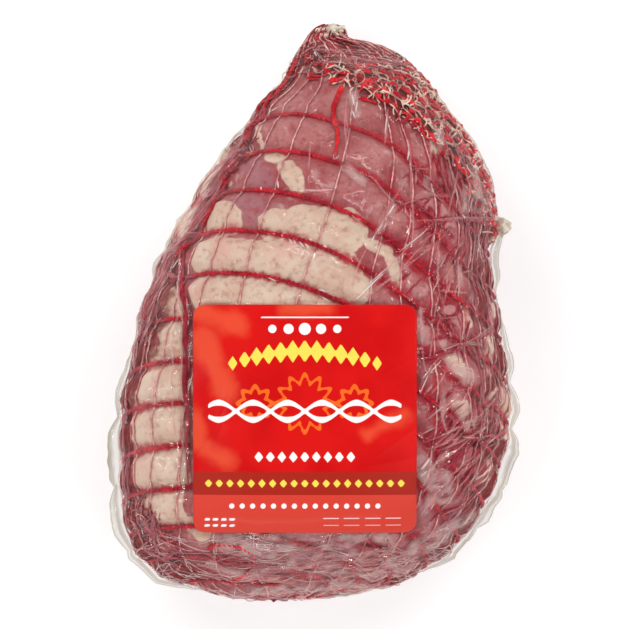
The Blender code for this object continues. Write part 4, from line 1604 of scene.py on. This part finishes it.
def meat_material():
    """Lean, fat, silver skin, blood, the red stain beside the cords, and painted sheen and shade."""
    material, tree, shader = fresh("raw_lamb")
    where = millimetres(tree)
    fibre = put(tree, "ShaderNodeUVMap").outputs["UV"]
    fibre = put(tree, "ShaderNodeMapping", {"Vector": fibre, "Scale": (1.0, 0.12, 1.0)}).outputs[0]
    fat_edge = mask(tree, where, reading(tree, "fat"), 1.6, 4.0, 0.35)
    dark_edge = mask(tree, where, reading(tree, "dark"), 2.2, 3.0, 1.4)
    purple_edge = mask(tree, where, reading(tree, "purple"), 2.0, 6.0, 2.2)
    stain_edge = mask(tree, where, reading(tree, "stain"), 2.4, 2.6, 1.2)

    broad = noise(tree, where, 16.0, 3.0)
    fine = noise(tree, where, 2.6, 4.0, 0.6)
    grain = noise(tree, fibre, 1.5, 3.0, 0.6, 0.4)
    lean = blend(tree, ease(tree, broad, 0.35, 0.65), (0.37, 0.092, 0.096), (0.48, 0.18, 0.172))
    lean = blend(tree, ease(tree, grain, 0.45, 0.75, 0.0, 0.22), lean, (0.55, 0.27, 0.26))
    lean = blend(tree, ease(tree, fine, 0.3, 0.5, 0.45, 0.0), lean, (0.24, 0.035, 0.045))
    # Facets where the film is crumpled: paler cells are painted sheen, darker cells painted shade.
    cells = put(tree, "ShaderNodeTexVoronoi", {"Vector": where, "Scale": 0.16}).outputs["Color"]
    cells = put(tree, "ShaderNodeSeparateColor", {0: cells}).outputs
    busy = reading(tree, "busy")
    painted_facet_sheen = sums(tree, "MULTIPLY", busy, ease(tree, cells[0], 0.5, 0.95, 0.0, 0.55))
    painted_facet_shade = sums(tree, "MULTIPLY", busy, ease(tree, cells[1], 0.5, 0.95, 0.0, 0.55))
    lean = blend(tree, painted_facet_sheen, lean, (0.60, 0.31, 0.30))
    lean = blend(tree, painted_facet_shade, lean, (0.27, 0.04, 0.05))
    lean = blend(tree, sums(tree, "MULTIPLY", purple_edge, 0.7), lean, (0.38, 0.165, 0.185))
    silver = sums(tree, "MULTIPLY", ease(tree, noise(tree, where, 7.0, 4.0, 0.6, 1.2), 0.56, 0.68), 0.45)
    lean = blend(tree, silver, lean, (0.62, 0.40, 0.38))
    marbled = ease(tree, noise(tree, where, 11.0, 3.0), 0.35, 0.68)
    fat = blend(tree, marbled, (0.69, 0.53, 0.415), (0.63, 0.42, 0.32))
    fat = blend(tree, ease(tree, broad, 0.52, 0.72, 0.0, 0.5), fat, (0.70, 0.36, 0.31))
    fat = blend(tree, ease(tree, grain, 0.55, 0.8, 0.0, 0.35), fat, (0.60, 0.52, 0.42))
    colour = blend(tree, fat_edge, lean, fat)
    colour = blend(tree, sums(tree, "MULTIPLY", stain_edge, 0.82), colour, (0.46, 0.022, 0.045))
    run = sums(tree, "MULTIPLY", reading(tree, "blood"), ease(tree, fine, 0.3, 0.5, 0.6, 1.0))
    colour = blend(tree, ease(tree, run, 0.15, 0.75, 0.0, 0.9), colour, (0.32, 0.010, 0.024))
    # The dark lean carries painted shade low along the sides as well as soaked lean.
    colour = blend(tree, sums(tree, "MULTIPLY", dark_edge, 0.92), colour, (0.17, 0.010, 0.010))
    tree.links.new(colour, shader.inputs["Base Color"])
    tree.links.new(ease(tree, fine, 0.3, 0.7, 0.32, 0.5), shader.inputs["Roughness"])
    relief = sums(tree, "ADD", sums(tree, "MULTIPLY", grain, 0.5), sums(tree, "MULTIPLY", fine, 0.25))
    bumped(tree, shader, 0.5, 0.0004, relief)
    shader.inputs["Specular IOR Level"].default_value = 0.0
    return material


def strand_material(name, deep, bright, glint_strength):
    """Spun cord: soaked unevenly, with pale specks that are painted glints, and rough."""
    material, tree, shader = fresh(name)
    where = millimetres(tree)
    patches = noise(tree, where, 5.0, 3.0)
    specks = noise(tree, where, 0.8, 2.0)
    colour = blend(tree, ease(tree, patches, 0.38, 0.62), deep, bright)
    # The pale specks are painted glints on the cord.
    colour = blend(tree, ease(tree, specks, 0.56, 0.72, 0.0, glint_strength), colour, (0.80, 0.42, 0.38))
    tree.links.new(colour, shader.inputs["Base Color"])
    tree.links.new(ease(tree, specks, 0.3, 0.7, 0.35, 0.6), shader.inputs["Roughness"])
    bumped(tree, shader, 0.6, 0.0002, specks)
    shader.inputs["Specular IOR Level"].default_value = 0.15
    return material


def film_material(name, crease, haze, wrinkle_size, wrinkle_depth, milk=(0.90, 0.68, 0.64)):
    """Clear film: it mirrors a little, and turns milky where it is creased or stands off the meat; the milky
    strips and strokes also paint sheen, glare and glints.
    """
    material, tree, shader = fresh(name)
    where = millimetres(tree)
    wrinkles = use_group(tree, WRINKLES, {"Place": where, "Size": wrinkle_size})
    slant = put(tree, "ShaderNodeLayerWeight", {"Blend": 0.5}).outputs["Facing"]
    mirror = ease(tree, slant, 0.35, 0.95, 0.036, 0.014)
    milky = sums(tree, "MULTIPLY", reading(tree, "crease"), crease)
    milky = sums(tree, "ADD", milky, sums(tree, "MULTIPLY", reading(tree, "haze"), haze))
    alpha = sums(tree, "ADD", mirror, milky, clamp=True)
    tree.links.new(alpha, shader.inputs["Alpha"])
    tree.links.new(ease(tree, milky, 0.02, 0.16, 1.0, 0.1), shader.inputs["Metallic"])
    tint = blend(tree, ease(tree, milky, 0.02, 0.16), (0.96, 0.95, 0.93), milk)
    tree.links.new(tint, shader.inputs["Base Color"])
    shader.inputs["Roughness"].default_value = 0.11
    crinkled = sums(tree, "MULTIPLY", wrinkles["Height"], reading(tree, "crinkle"))
    bumped(tree, shader, 0.7, wrinkle_depth, crinkled)
    return material


def blood_material():
    """Blood that has run along the folds, ragged at its edges."""
    material, tree, shader = fresh("run_blood")
    where = millimetres(tree)
    patchy = noise(tree, where, 1.8, 3.0, 0.6)
    colour = blend(tree, ease(tree, patchy, 0.35, 0.65), (0.22, 0.006, 0.016), (0.44, 0.012, 0.034))
    tree.links.new(colour, shader.inputs["Base Color"])
    field = sums(tree, "ADD", reading(tree, "crease"), sums(tree, "MULTIPLY", patchy, 0.5))
    tree.links.new(ease(tree, field, 0.35, 0.95, 0.0, 0.9), shader.inputs["Alpha"])
    shader.inputs["Roughness"].default_value = 0.3
    return material


def label_material():
    """Glossy red print with a darker band, an orange band and simple motifs."""
    material, tree, shader = fresh("printed_label")
    where = millimetres(tree)
    wrinkles = use_group(tree, WRINKLES, {"Place": where, "Size": 9.0})
    soft = noise(tree, where, 20.0, 2.0)
    colour = blend(tree, ease(tree, soft, 0.35, 0.65), (0.60, 0.005, 0.006), (0.69, 0.008, 0.007))
    wash = mask(tree, where, reading(tree, "wash"), 5.0, 12.0, 3.0)
    colour = blend(tree, sums(tree, "MULTIPLY", wash, 0.55), colour, (0.86, 0.12, 0.05))
    for field, edge, most, ink in (
        ("orange", 0.12, 0.85, (0.93, 0.17, 0.02)),
        ("low_band", 0.1, 1.0, (0.68, 0.055, 0.035)),
        ("dark_band", 0.1, 1.0, (0.40, 0.022, 0.012)),
        ("yellow", 0.1, 1.0, (0.92, 0.72, 0.10)),
        ("white", 0.1, 1.0, (0.93, 0.88, 0.86)),
    ):
        colour = blend(tree, ease(tree, reading(tree, field), -edge, edge, 0.0, most), colour, ink)
    tree.links.new(colour, shader.inputs["Base Color"])
    tree.links.new(ease(tree, soft, 0.3, 0.7, 0.3, 0.42), shader.inputs["Roughness"])
    bumped(tree, shader, 0.3, 0.0004, wrinkles["Height"])
    shader.inputs["Specular IOR Level"].default_value = 0.1
    shader.inputs["Coat Weight"].default_value = 0.06
    shader.inputs["Coat Roughness"].default_value = 0.12
    return material


# The label's print, as fields that are above zero inside each motif

def disc(u, v, cu, cv, radius):
    return radius - np.hypot(u - cu, v - cv)


def lozenge(u, v, cu, cv, half_u, half_v):
    return (1.0 - np.abs(u - cu) / half_u - np.abs(v - cv) / half_v) * min(half_u, half_v) * 0.7


def bar(u, v, cu, cv, half_u, half_v):
    return np.minimum(half_u - np.abs(u - cu), half_v - np.abs(v - cv))


# Paler orange patches, as strokes on the label.
WASH = (
    (-40.0, 42.0, -26.0, 36.0, 4.0),
    (-39.0, 30.0, -31.0, 12.0, 4.5),
    (-42.0, 0.0, -41.0, -10.0, 3.5),
    (-38.0, -12.0, -31.0, -16.0, 4.0),
    (-6.0, 43.0, 8.0, 42.0, 3.0),
    (24.0, -6.0, 38.0, 2.0, 1.6),
)

# Creases across the label: from, to and height.
LABEL_CREASES = (
    (28.0, -14.0, 42.0, -4.0, 0.25),
    (24.0, -18.0, 42.0, -15.0, 0.2),
    (18.0, 10.0, 42.0, 24.0, 0.18),
    (-30.0, 0.0, -24.0, 43.0, 0.16),
    (-42.0, -22.0, -28.0, 10.0, 0.2),
    (-40.0, -30.0, 6.0, -21.0, 0.15),
)


def together(motifs):
    """One field of all these motifs."""
    return np.clip(np.maximum.reduce(motifs), -2.0, 2.0)


def print_fields(u, v):
    """The motifs over the label, whose middle is at 0, 0."""
    white = [bar(u, v, 0.0, 39.0, 17.0, 0.35)]
    white += [disc(u, v, n * 6.2, 34.5, 2.3 - 0.35 * abs(n)) for n in range(-2, 3)]
    thick = 0.95 - 0.35 * np.abs(np.cos(u / 4.2))
    for turn in (0.0, math.pi):
        swing = 3.3 * np.sin(u / 4.2 + turn)
        white.append(np.minimum(thick - np.abs(v - 3.0 - swing) * 0.8, 37.0 - np.abs(u)))
    white += [lozenge(u, v, n * 4.4, -14.5, 1.7, 2.2) for n in range(-4, 5)]
    white += [disc(u, v, n * 4.0, -33.4, 1.05) for n in range(-7, 8)]
    for row in (-38.6, -41.0):
        white += [bar(u, v, -37.5 + n * 3.2, row, 1.1, 0.5) for n in range(4)]
        white += [bar(u, v, 10.0 + n * 8.0, row + 0.3, 3.2, 0.28) for n in range(4)]

    yellow = [lozenge(u, v, n * 4.1, -24.7, 1.5, 1.7) for n in range(-9, 10)]
    for n in range(-6, 7):
        grow = 1.0 - (n / 9.0) ** 2
        yellow.append(lozenge(u, v, n * 4.6, 26.0 - 0.13 * n * n, 2.3 * grow + 0.6, 3.6 * grow + 0.8))

    orange = []
    for centre_u, petals, reach in ((-19.0, 8, 7.5), (19.0, 8, 7.5), (0.0, 12, 12.0)):
        around = np.arctan2(v - 6.0, u - centre_u)
        far = np.hypot(u - centre_u, v - 6.0)
        petal = 0.5 + 0.5 * np.cos(around * petals)
        rim = reach * (0.72 + 0.28 * petal)
        orange.append(np.minimum(rim - far, far - rim + 1.9))
    return {
        "white": together(white),
        "yellow": together(yellow),
        "orange": together(orange),
        "dark_band": 4.4 - np.abs(v + 24.7),
        "low_band": -29.1 - v,
        "wash": strokes(u, v, WASH),
    }


def label_points(u, v, lift):
    """Places of the label over the film."""
    x = u + (LABEL_LEFT + LABEL_RIGHT) / 2
    y = v + (LABEL_TOP + LABEL_BOTTOM) / 2
    m, p = place(x, y)
    z = bare_form(m, p)[..., 2]
    return np.stack((x, y, z + lift), axis=-1)


def build_label(material):
    """The printed label: a thin sheet with round corners, curved over the pack."""
    half = np.array(((LABEL_RIGHT - LABEL_LEFT) / 2, (LABEL_TOP - LABEL_BOTTOM) / 2))
    line = np.linspace(-1.0, 1.0, LABEL_STEPS)
    v, u = np.meshgrid(line * half[1], line * half[0], indexing="ij")
    over = np.stack((np.abs(u) - (half[0] - LABEL_CORNER), np.abs(v) - (half[1] - LABEL_CORNER)))
    corner = over.min(axis=0) > 0
    squeeze = over.max(axis=0) / np.maximum(np.hypot(over[0], over[1]), 1e-9)
    u = np.where(corner, np.sign(u) * (half[0] - LABEL_CORNER + over[0] * squeeze), u)
    v = np.where(corner, np.sign(v) * (half[1] - LABEL_CORNER + over[1] * squeeze), v)
    place3 = np.stack((u, v, np.zeros_like(u)), axis=-1)
    wave = 0.20 * (cloud(place3, 15.0, 4.0) - 0.5) + 0.05 * (cloud(place3, 6.0, 9.0) - 0.5)
    for x0, y0, x1, y1, height in LABEL_CREASES:
        near = strokes(u, v, ((x0, y0, x1, y1, 0.0),), 9.0)
        wave += 0.6 * height * np.exp(-((near / 0.8) ** 2))
    points = label_points(u, v, LABEL_GAP + LABEL_THICK + wave)
    piece = sheet_piece("label_sheet", points, print_fields(u, v))
    solid = piece.modifiers.new("thickness", "SOLIDIFY")
    solid.thickness = LABEL_THICK * MM
    solid.offset = -1.0
    bpy.ops.object.modifier_apply(modifier=solid.name)
    return settle(piece, material, SLOT_LABEL, "label")


# Free film along the pack's edges: place along Y, width and half its length.
LEFT_FILM = (
    (24.0, 1.4, 20.0), (-8.0, 1.0, 16.0), (-30.0, 2.4, 14.0), (-55.0, 5.2, 14.0), (-80.0, 5.2, 13.0),
    (-97.0, 3.6, 9.0), (60.0, 0.8, 16.0),
)
RIGHT_FILM = (
    (34.0, 4.6, 3.2), (22.0, 3.0, 12.0), (-16.0, 2.4, 12.0), (-36.0, 3.2, 9.0), (-58.0, 5.0, 12.0),
    (-74.0, 4.2, 9.0), (-90.0, 2.6, 9.0), (62.0, 1.0, 18.0),
)
MARGIN_STEPS = 7

# Screwed-up ends of the bag: middle, size and a number for the folds.
FILM_KNOTS = (
    ("film_ear_knot", (72.4, 33.6, 31.0), (4.0, 3.8, 3.0), 2.4),
    ("film_tail_knot", (7.4, 110.0, 24.0), (4.6, 3.0, 4.0), 7.7),
)


def film_width(y, parts):
    """How far the free film reaches past the edge at these places."""
    total = np.full(y.shape, 0.35)
    for where, width, reach in parts:
        total = np.maximum(total, width * np.exp(-(((y - where) / reach) ** 4)))
    return total


def film_margin(name, share, parts, seed, film, material):
    """A ribbon of film pressed together past the edge, crinkled and torn a little wider and narrower."""
    m = np.linspace(16.0, LENGTH - 8.0, 460)
    p = np.full(m.shape, share)
    root, normal = SKIN.at(m, p, SKIN.sample(film, m, p) - 0.5, 1.0)
    out = normal.copy()
    out[:, 2] = 0.0
    out = unit(out)
    y = root[:, 1]
    ragged_edge = 0.8 + 0.45 * cloud(np.stack((y, y * 0, y * 0), -1), 4.0, seed)
    width = film_width(y, parts) * ragged_edge
    t = np.linspace(0.0, 1.0, MARGIN_STEPS)
    points = root[:, None, :] + out[:, None, :] * (t[None, :, None] * (width[:, None, None] + 0.5))
    drawn = points * np.array((1.0, 0.25, 1.0))
    points[..., 2] += t[None, :] * (
        2.6 * (cloud(points, 9.0, seed + 3.0) - 0.5) + 1.2 * (cloud(drawn, 2.6, seed) - 0.5)
    ) * np.minimum(width[:, None] / 3.0, 1.0)
    bands = 0.5 + 0.5 * np.sin(t[None, :] * 9.0 + 5.0 * cloud(drawn, 9.0, seed + 5.0))
    crease = np.maximum(bands**2, smoothstep(0.85, 1.0, t)[None, :])
    fields = {
        "crease": crease,
        "haze": np.broadcast_to(0.5 + 0.5 * t[None, :], crease.shape),
        "crinkle": np.full(crease.shape, 0.35),
    }
    columns = slice(None, None, -1 if share < 0.5 else 1)
    fields = {key: values[::-1, columns] for key, values in fields.items()}
    piece = sheet_piece(name, points[::-1, columns], fields)
    return settle(piece, material, SLOT_FILM)


def strips(name, runs, low, high, film, material, slot):
    """Thin strips that follow the film along these runs, and how near its middle each point lies."""
    vertices, faces, marks, total = [], [], [], 0
    for run in runs:
        count = max(5, int(run.length / 1.1))
        m, p = run.route(count)
        if m.min() < 3.0 or m.max() > LENGTH - 3.0:
            continue
        if np.min(outside_label(*seen(m, p))) < 1.0 and p.mean() < 1.0:
            continue
        taper = np.sqrt(np.sin(np.linspace(0.05, math.pi - 0.05, count)))
        across = np.array((run.step[1], -run.step[0])) / run.length
        strip = []
        for side, lift in ((-1.0, low), (0.0, high), (1.0, low)):
            off = side * run.width * taper
            m1, p1 = m + off * across[0], p + off * across[1] / run.girth
            strip.append(SKIN.at(m1, p1, SKIN.sample(film, m1, p1) + lift * taper, 0.0)[0])
        vertices.append(np.stack(strip, axis=1).reshape(-1, 3))
        marks.append(np.tile((0.0, 1.0, 0.0), count))
        for n in range(count - 1):
            a = total + 3 * n
            faces.append((a, a + 1, a + 4, a + 3))
            faces.append((a + 1, a + 2, a + 5, a + 4))
        total += 3 * count
    piece = mesh_piece(name, np.concatenate(vertices), faces, {"crease": np.concatenate(marks)})
    return settle(piece, material, slot)


def film_knot(name, middle, size, seed, material):
    """A screwed-up end of the bag: a crumpled lump with deep folds."""
    deselect()
    bpy.ops.mesh.primitive_ico_sphere_add(subdivisions=4, radius=1.0)
    piece = bpy.context.object
    piece.name = piece.data.name = name
    mesh = piece.data
    points = np.zeros(len(mesh.vertices) * 3, np.float32)
    mesh.vertices.foreach_get("co", points)
    points = points.reshape(-1, 3).astype(float)
    folds = np.abs(cloud(points, 0.6, seed) - 0.5) * 1.5 + np.abs(cloud(points, 0.3, seed + 4.0) - 0.5) * 0.7
    points = points * (0.72 + folds)[:, None] * np.array(size) + np.array(middle)
    points[:, 2] = np.maximum(points[:, 2], 0.3)
    mesh.vertices.foreach_set("co", (points * MM).astype(np.float32).ravel())
    marks = {
        "crease": np.clip(folds * 1.4, 0.0, 1.0),
        "haze": np.full(len(folds), 0.9),
        "crinkle": np.ones(len(folds)),
    }
    mark_points(mesh, marks)
    mesh.update()
    return settle(piece, material, SLOT_FILM)


# The floor, lights and camera

def build_stage():
    """A pale floor, soft lights and the camera straight above."""
    deselect()
    bpy.ops.mesh.primitive_plane_add(size=12.0, location=(0.0, 0.0, -0.0002))
    floor = bpy.context.object
    floor.name = "floor"
    material, tree, shader = fresh("pale_floor")
    shader.inputs["Base Color"].default_value = (0.62, 0.62, 0.62, 1.0)
    shader.inputs["Roughness"].default_value = 0.9
    shader.inputs["Emission Color"].default_value = (1.0, 1.0, 1.0, 1.0)
    shader.inputs["Emission Strength"].default_value = 0.5
    shader.inputs["Specular IOR Level"].default_value = 0.0
    floor.data.materials.append(material)

    for name, azimuth, elevation, far, size, radiance, mirrored in LIGHTS:
        light = bpy.data.lights.new(name, "AREA")
        light.shape = "RECTANGLE"
        light.size, light.size_y = size
        light.energy = radiance * math.pi * size[0] * size[1]
        holder = bpy.data.objects.new(name, light)
        holder.visible_glossy = mirrored
        turn, rise = math.radians(azimuth), math.radians(elevation)
        flat = far * math.cos(rise)
        where = Vector((flat * math.cos(turn), flat * math.sin(turn), far * math.sin(rise)))
        holder.location = where
        holder.rotation_euler = (-where).to_track_quat("-Z", "Y").to_euler()
        bpy.context.scene.collection.objects.link(holder)

    world = bpy.data.worlds.new("studio")
    bpy.context.scene.world = world
    world.use_nodes = True
    tree = world.node_tree
    direction = put(tree, "ShaderNodeTexCoord").outputs["Generated"]
    height = put(tree, "ShaderNodeSeparateXYZ", {0: direction}).outputs["Z"]
    glow = ease(tree, height, 0.05, 0.75, 0.6, 0.12)
    tree.links.new(glow, tree.nodes["Background"].inputs["Strength"])
    tree.nodes["Background"].inputs["Color"].default_value = (1.0, 1.0, 1.0, 1.0)

    camera = bpy.data.cameras.new("camera")
    camera.sensor_width = 36.0
    camera.lens = camera.sensor_width * (CAMERA_HEIGHT - CAMERA_PLANE) / FRAME_WIDTH
    camera.clip_start, camera.clip_end = 0.1, 20.0
    holder = bpy.data.objects.new("camera", camera)
    holder.location = (CAMERA_AIM[0] * MM, CAMERA_AIM[1] * MM, CAMERA_HEIGHT * MM)
    bpy.context.scene.collection.objects.link(holder)
    bpy.context.scene.camera = holder
    bpy.context.scene.view_settings.view_transform = "Standard"


# Putting the pack together

# Colours of the strands, deep and bright, and how strongly their pale specks, which are painted glints,
# show.
STRAND_COLOURS = {
    "soaked_red_cord": ((0.32, 0.004, 0.016), (0.58, 0.010, 0.026), 0.2),
    "dark_red_cord": ((0.14, 0.004, 0.010), (0.42, 0.012, 0.020), 0.2),
    "bright_red_cord": ((0.42, 0.007, 0.015), (0.74, 0.018, 0.026), 0.15),
    "pale_thread": ((0.60, 0.20, 0.21), (0.80, 0.48, 0.44), 0.3),
    "cream_thread": ((0.56, 0.24, 0.20), (0.90, 0.68, 0.56), 0.2),
    "grey_fibre": ((0.55, 0.26, 0.28), (0.76, 0.54, 0.52), 0.3),
}

# Sides and colour of the strands in each piece of the net.
NET_PIECES = {
    "net_ring_cords": (5, "soaked_red_cord"),
    "net_long_threads": (4, "pale_thread"),
    "gathered_net_red": (6, "bright_red_cord"),
    "tail_net": (6, "dark_red_cord"),
    "gathered_net_pale": (4, "cream_thread"),
    "frayed_net_fibres": (4, "cream_thread"),
    "shoulder_bundle": (6, "dark_red_cord"),
    "shoulder_cords": (6, "soaked_red_cord"),
    "tangled_red": (5, "dark_red_cord"),
    "tangled_pale": (4, "pale_thread"),
    "loose_cords": (8, "bright_red_cord"),
    "end_fibres": (4, "grey_fibre"),
}

# Sheets of the clear film: first and last column of the grid, and the step from one column to the next.
FILM_SHEETS = (
    ("film_front_left", 0, COLUMNS // 4, 1),
    ("film_front_right", COLUMNS // 4, COLUMNS // 2, 1),
    ("film_back", COLUMNS // 2, COLUMNS, COARSE),
)


def net_strands(rng):
    """All strands of the net, by the piece that they make."""
    cords = ring_cords()
    threads = long_threads(rng)
    bunch_red, bunch_pale = gathered_rings(rng)
    bunch_pale += gathered_threads(rng)
    tail_red, tail_pale = tail_net(rng)
    fibres = end_fibres(rng)
    bundle = shoulder_bundle()
    tangled_red, tangled_pale = tangles(rng)
    tuft_red, tuft_pale = gathered_tufts(rng)
    return {
        "net_ring_cords": cords,
        "net_long_threads": threads,
        "gathered_net_red": bunch_red + tuft_red,
        "tail_net": tail_red,
        "gathered_net_pale": bunch_pale + tail_pale,
        "frayed_net_fibres": tuft_pale,
        "shoulder_bundle": bundle[::2],
        "shoulder_cords": bundle[1::2],
        "tangled_red": tangled_red,
        "tangled_pale": tangled_pale,
        "loose_cords": loose_cords(),
        "end_fibres": fibres,
    }


def drawn_film(strands):
    """Height of the film as it lies tight over the meat and the net, and flat under the label."""
    obstacle = MEAT + FILM_CLEARANCE
    for group in strands.values():
        for strand in group:
            strand.press(obstacle)
    limit = np.where(LABELLED > 0.0, UNDER_LABEL, BESIDE_LABEL)
    return np.minimum(stretched(np.minimum(obstacle, limit)), limit)


def dark_field():
    """Where dark lean shows: soaked at its own places and under the bunched net, and soaked lean with
    painted shade low down along the edges.
    """
    crown, waist = stations_at(SKIN.grid_m, CROWN, WAIST)
    share = (Z0 - waist) / np.maximum(crown - waist, 4.0)
    # Soaked lean with painted shade, low down on the sides where the top turns away.
    edge_shade_and_soak = -2.2 + 3.4 * smoothstep(0.76, 0.56, share) * TOP
    net_soak = -1.2 + 2.9 * BUNCHED * smoothstep(98.0, 93.0, Y0)
    dark = np.maximum(np.maximum(DARK_FIELD, net_soak), edge_shade_and_soak)
    return dark - 4.0 * smoothstep(-1.5, 1.0, strokes(X0, Y0, EDGE_FAT)) * TOP


def stain_field():
    """Where red dye stains the meat: beside the cords and threads, and at the tail."""
    stain = np.maximum(1.5 + 1.5 * BUSY - FROM_CORD, -0.1 + 1.3 * BUSY - FROM_THREAD)
    stain = np.maximum(stain, 1.8 * smoothstep(97.0, 103.0, Y0) - 1.2)
    return np.clip(stain, -6.0, 6.0)


def build_meat(folded, blood):
    """The meat and fat as one closed skin, which follows the film's folds a little."""
    rows = np.unique(np.round(np.linspace(0, ROWS - 1, MEAT_ROWS)).astype(int))
    columns = np.arange(0, COLUMNS + 1, COARSE)
    fields = {
        "fat": FAT_FIELD, "dark": dark_field(), "purple": PURPLE_FIELD, "stain": stain_field(),
        "blood": blood, "busy": BUSY,
    }
    shown = {key: up_and_over(values, rows, columns) for key, values in fields.items()}
    span = np.linspace(0.0, 400.0, len(columns))
    uv = np.stack(np.meshgrid(span, SKIN.m[rows][::-1], indexing="xy"), axis=-1)
    points = up_and_over(SKIN.points(MEAT + 0.5 * folded, 0.6), rows, columns)
    piece = sheet_piece("meat_and_fat", points, shown, sewn=True, uv=uv)
    settle(piece, meat_material(), SLOT_MEAT, "lamb_pack")


def build_net(strands):
    """The pieces of the net."""
    materials = {name: strand_material(name, *look) for name, look in STRAND_COLOURS.items()}
    for name, (sides, colour) in NET_PIECES.items():
        settle(strand_piece(name, strands[name], sides, LOWEST_CORD), materials[colour], SLOT_CORD)


def build_film(film, looks):
    """The clear film, in three sheets."""
    points = SKIN.points(film, 0.0)
    clear = film_material("clear_film", 0.02, 0.27, 3.4, 0.0004)
    for name, low, high, step in FILM_SHEETS:
        rows, columns = np.arange(0, ROWS, step), np.arange(low, high + 1, step)
        rows[-1] = ROWS - 1
        shown = {key: up_and_over(values, rows, columns) for key, values in looks.items()}
        settle(sheet_piece(name, up_and_over(points, rows, columns), shown), clear, SLOT_FILM)


def build_creases(rng, film, folds, milky_and_sheen_streaks):
    """The sharp creases and pleats of the film, milky and partly painted sheen, and the painted glints on
    them.
    """
    strong = [crease for crease in folds if crease.sharp]
    for crease in strong:
        crease.width = 0.42
    sharp = film_material("creased_film_and_sheen", 0.40, 0.0, 2.0, 0.0002, (0.86, 0.42, 0.41))
    pleats_and_sheen = [between(*ends, 0.0, width, bow, True) for *ends, width, bow in PLEATS_AND_SHEEN]
    strips("film_creases_and_sheen", strong + milky_and_sheen_streaks + pleats_and_sheen, -0.05, 0.3, film, sharp, SLOT_FILM)
    glints = [fold.part(*sorted(rng.uniform(0.1, 0.9, 2)), 0.2) for fold in (strong + milky_and_sheen_streaks)[::3]]
    glints = [glint for glint in glints if glint.length > 1.5]
    glints += [between(*ends, 0.0, width, 0.0, True) for *ends, width in GLINTS]
    shine = film_material("glinting_film", 0.75, 0.0, 2.0, 0.0002, (1.0, 0.90, 0.86))
    strips("film_glints", glints, 0.1, 0.36, film, shine, SLOT_FILM)


def build_film_ends(film):
    """The free film along both edges, and the screwed-up ends of the bag."""
    edge = film_material("film_edge", 0.55, 0.30, 3.4, 0.0005, (0.62, 0.57, 0.44))
    film_margin("film_margin_left", 0.0, LEFT_FILM, 2.5, film, edge)
    film_margin("film_margin_right", 1.0, RIGHT_FILM, 6.5, film, edge)
    screwed = film_material("screwed_film", 0.55, 0.50, 3.4, 0.0005, (0.84, 0.74, 0.60))
    for name, middle, size, seed in FILM_KNOTS:
        film_knot(name, middle, size, seed, screwed)


def main():
    """Builds the pack, then the floor, lights and camera."""
    rng = np.random.default_rng(11)
    deselect()
    strands = net_strands(rng)
    film = drawn_film(strands)
    gap = film - MEAT
    folds = creases(rng)
    runs = blood_lines(rng)
    milky_and_sheen_streaks = scattered(rng, MILKY_AND_SHEEN_STREAKS)
    raised, mark, blood = (np.zeros_like(film) for _ in range(3))
    for crease in folds:
        crease.raise_on(raised, mark)
    for run in runs:
        run.raise_on(raised, blood)
    folded = np.clip(raised, DEEPEST_CREASE, HIGHEST_CREASE)
    folded = folded * (1.0 - LABELLED) * ends_fade(SKIN.grid_m, 8.0)
    film = film + folded
    # The haze is milky film where it stands off the meat, with painted glare from the whitish strokes.
    patchy = np.clip(2.4 * cloud(SKIN.bare, 3.4, 12.5) - 0.35, 0.15, 1.3)
    haze = patchy * smoothstep(-0.9, 1.6, HAZE_AND_GLARE_FIELD) + 0.08 * smoothstep(1.0, 3.0, gap)
    crinkle = 0.15 + 0.25 * BUSY + 0.5 * smoothstep(0.0, 1.2, HAZE_AND_GLARE_FIELD)

    build_meat(folded, blood)
    build_net(strands)
    build_film(film, {"crease": mark, "haze": haze, "crinkle": crinkle})
    build_creases(rng, film, folds, milky_and_sheen_streaks)
    strips("blood_in_folds", runs, -0.08, -0.04, film, blood_material(), SLOT_MEAT)
    build_film_ends(film)
    build_label(label_material())
    build_stage()


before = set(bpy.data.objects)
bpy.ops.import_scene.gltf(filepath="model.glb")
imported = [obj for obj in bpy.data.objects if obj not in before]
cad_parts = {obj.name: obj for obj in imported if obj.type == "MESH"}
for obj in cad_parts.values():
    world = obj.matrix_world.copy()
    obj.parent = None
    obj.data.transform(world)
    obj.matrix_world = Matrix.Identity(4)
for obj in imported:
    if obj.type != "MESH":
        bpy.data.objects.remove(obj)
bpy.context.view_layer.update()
main()
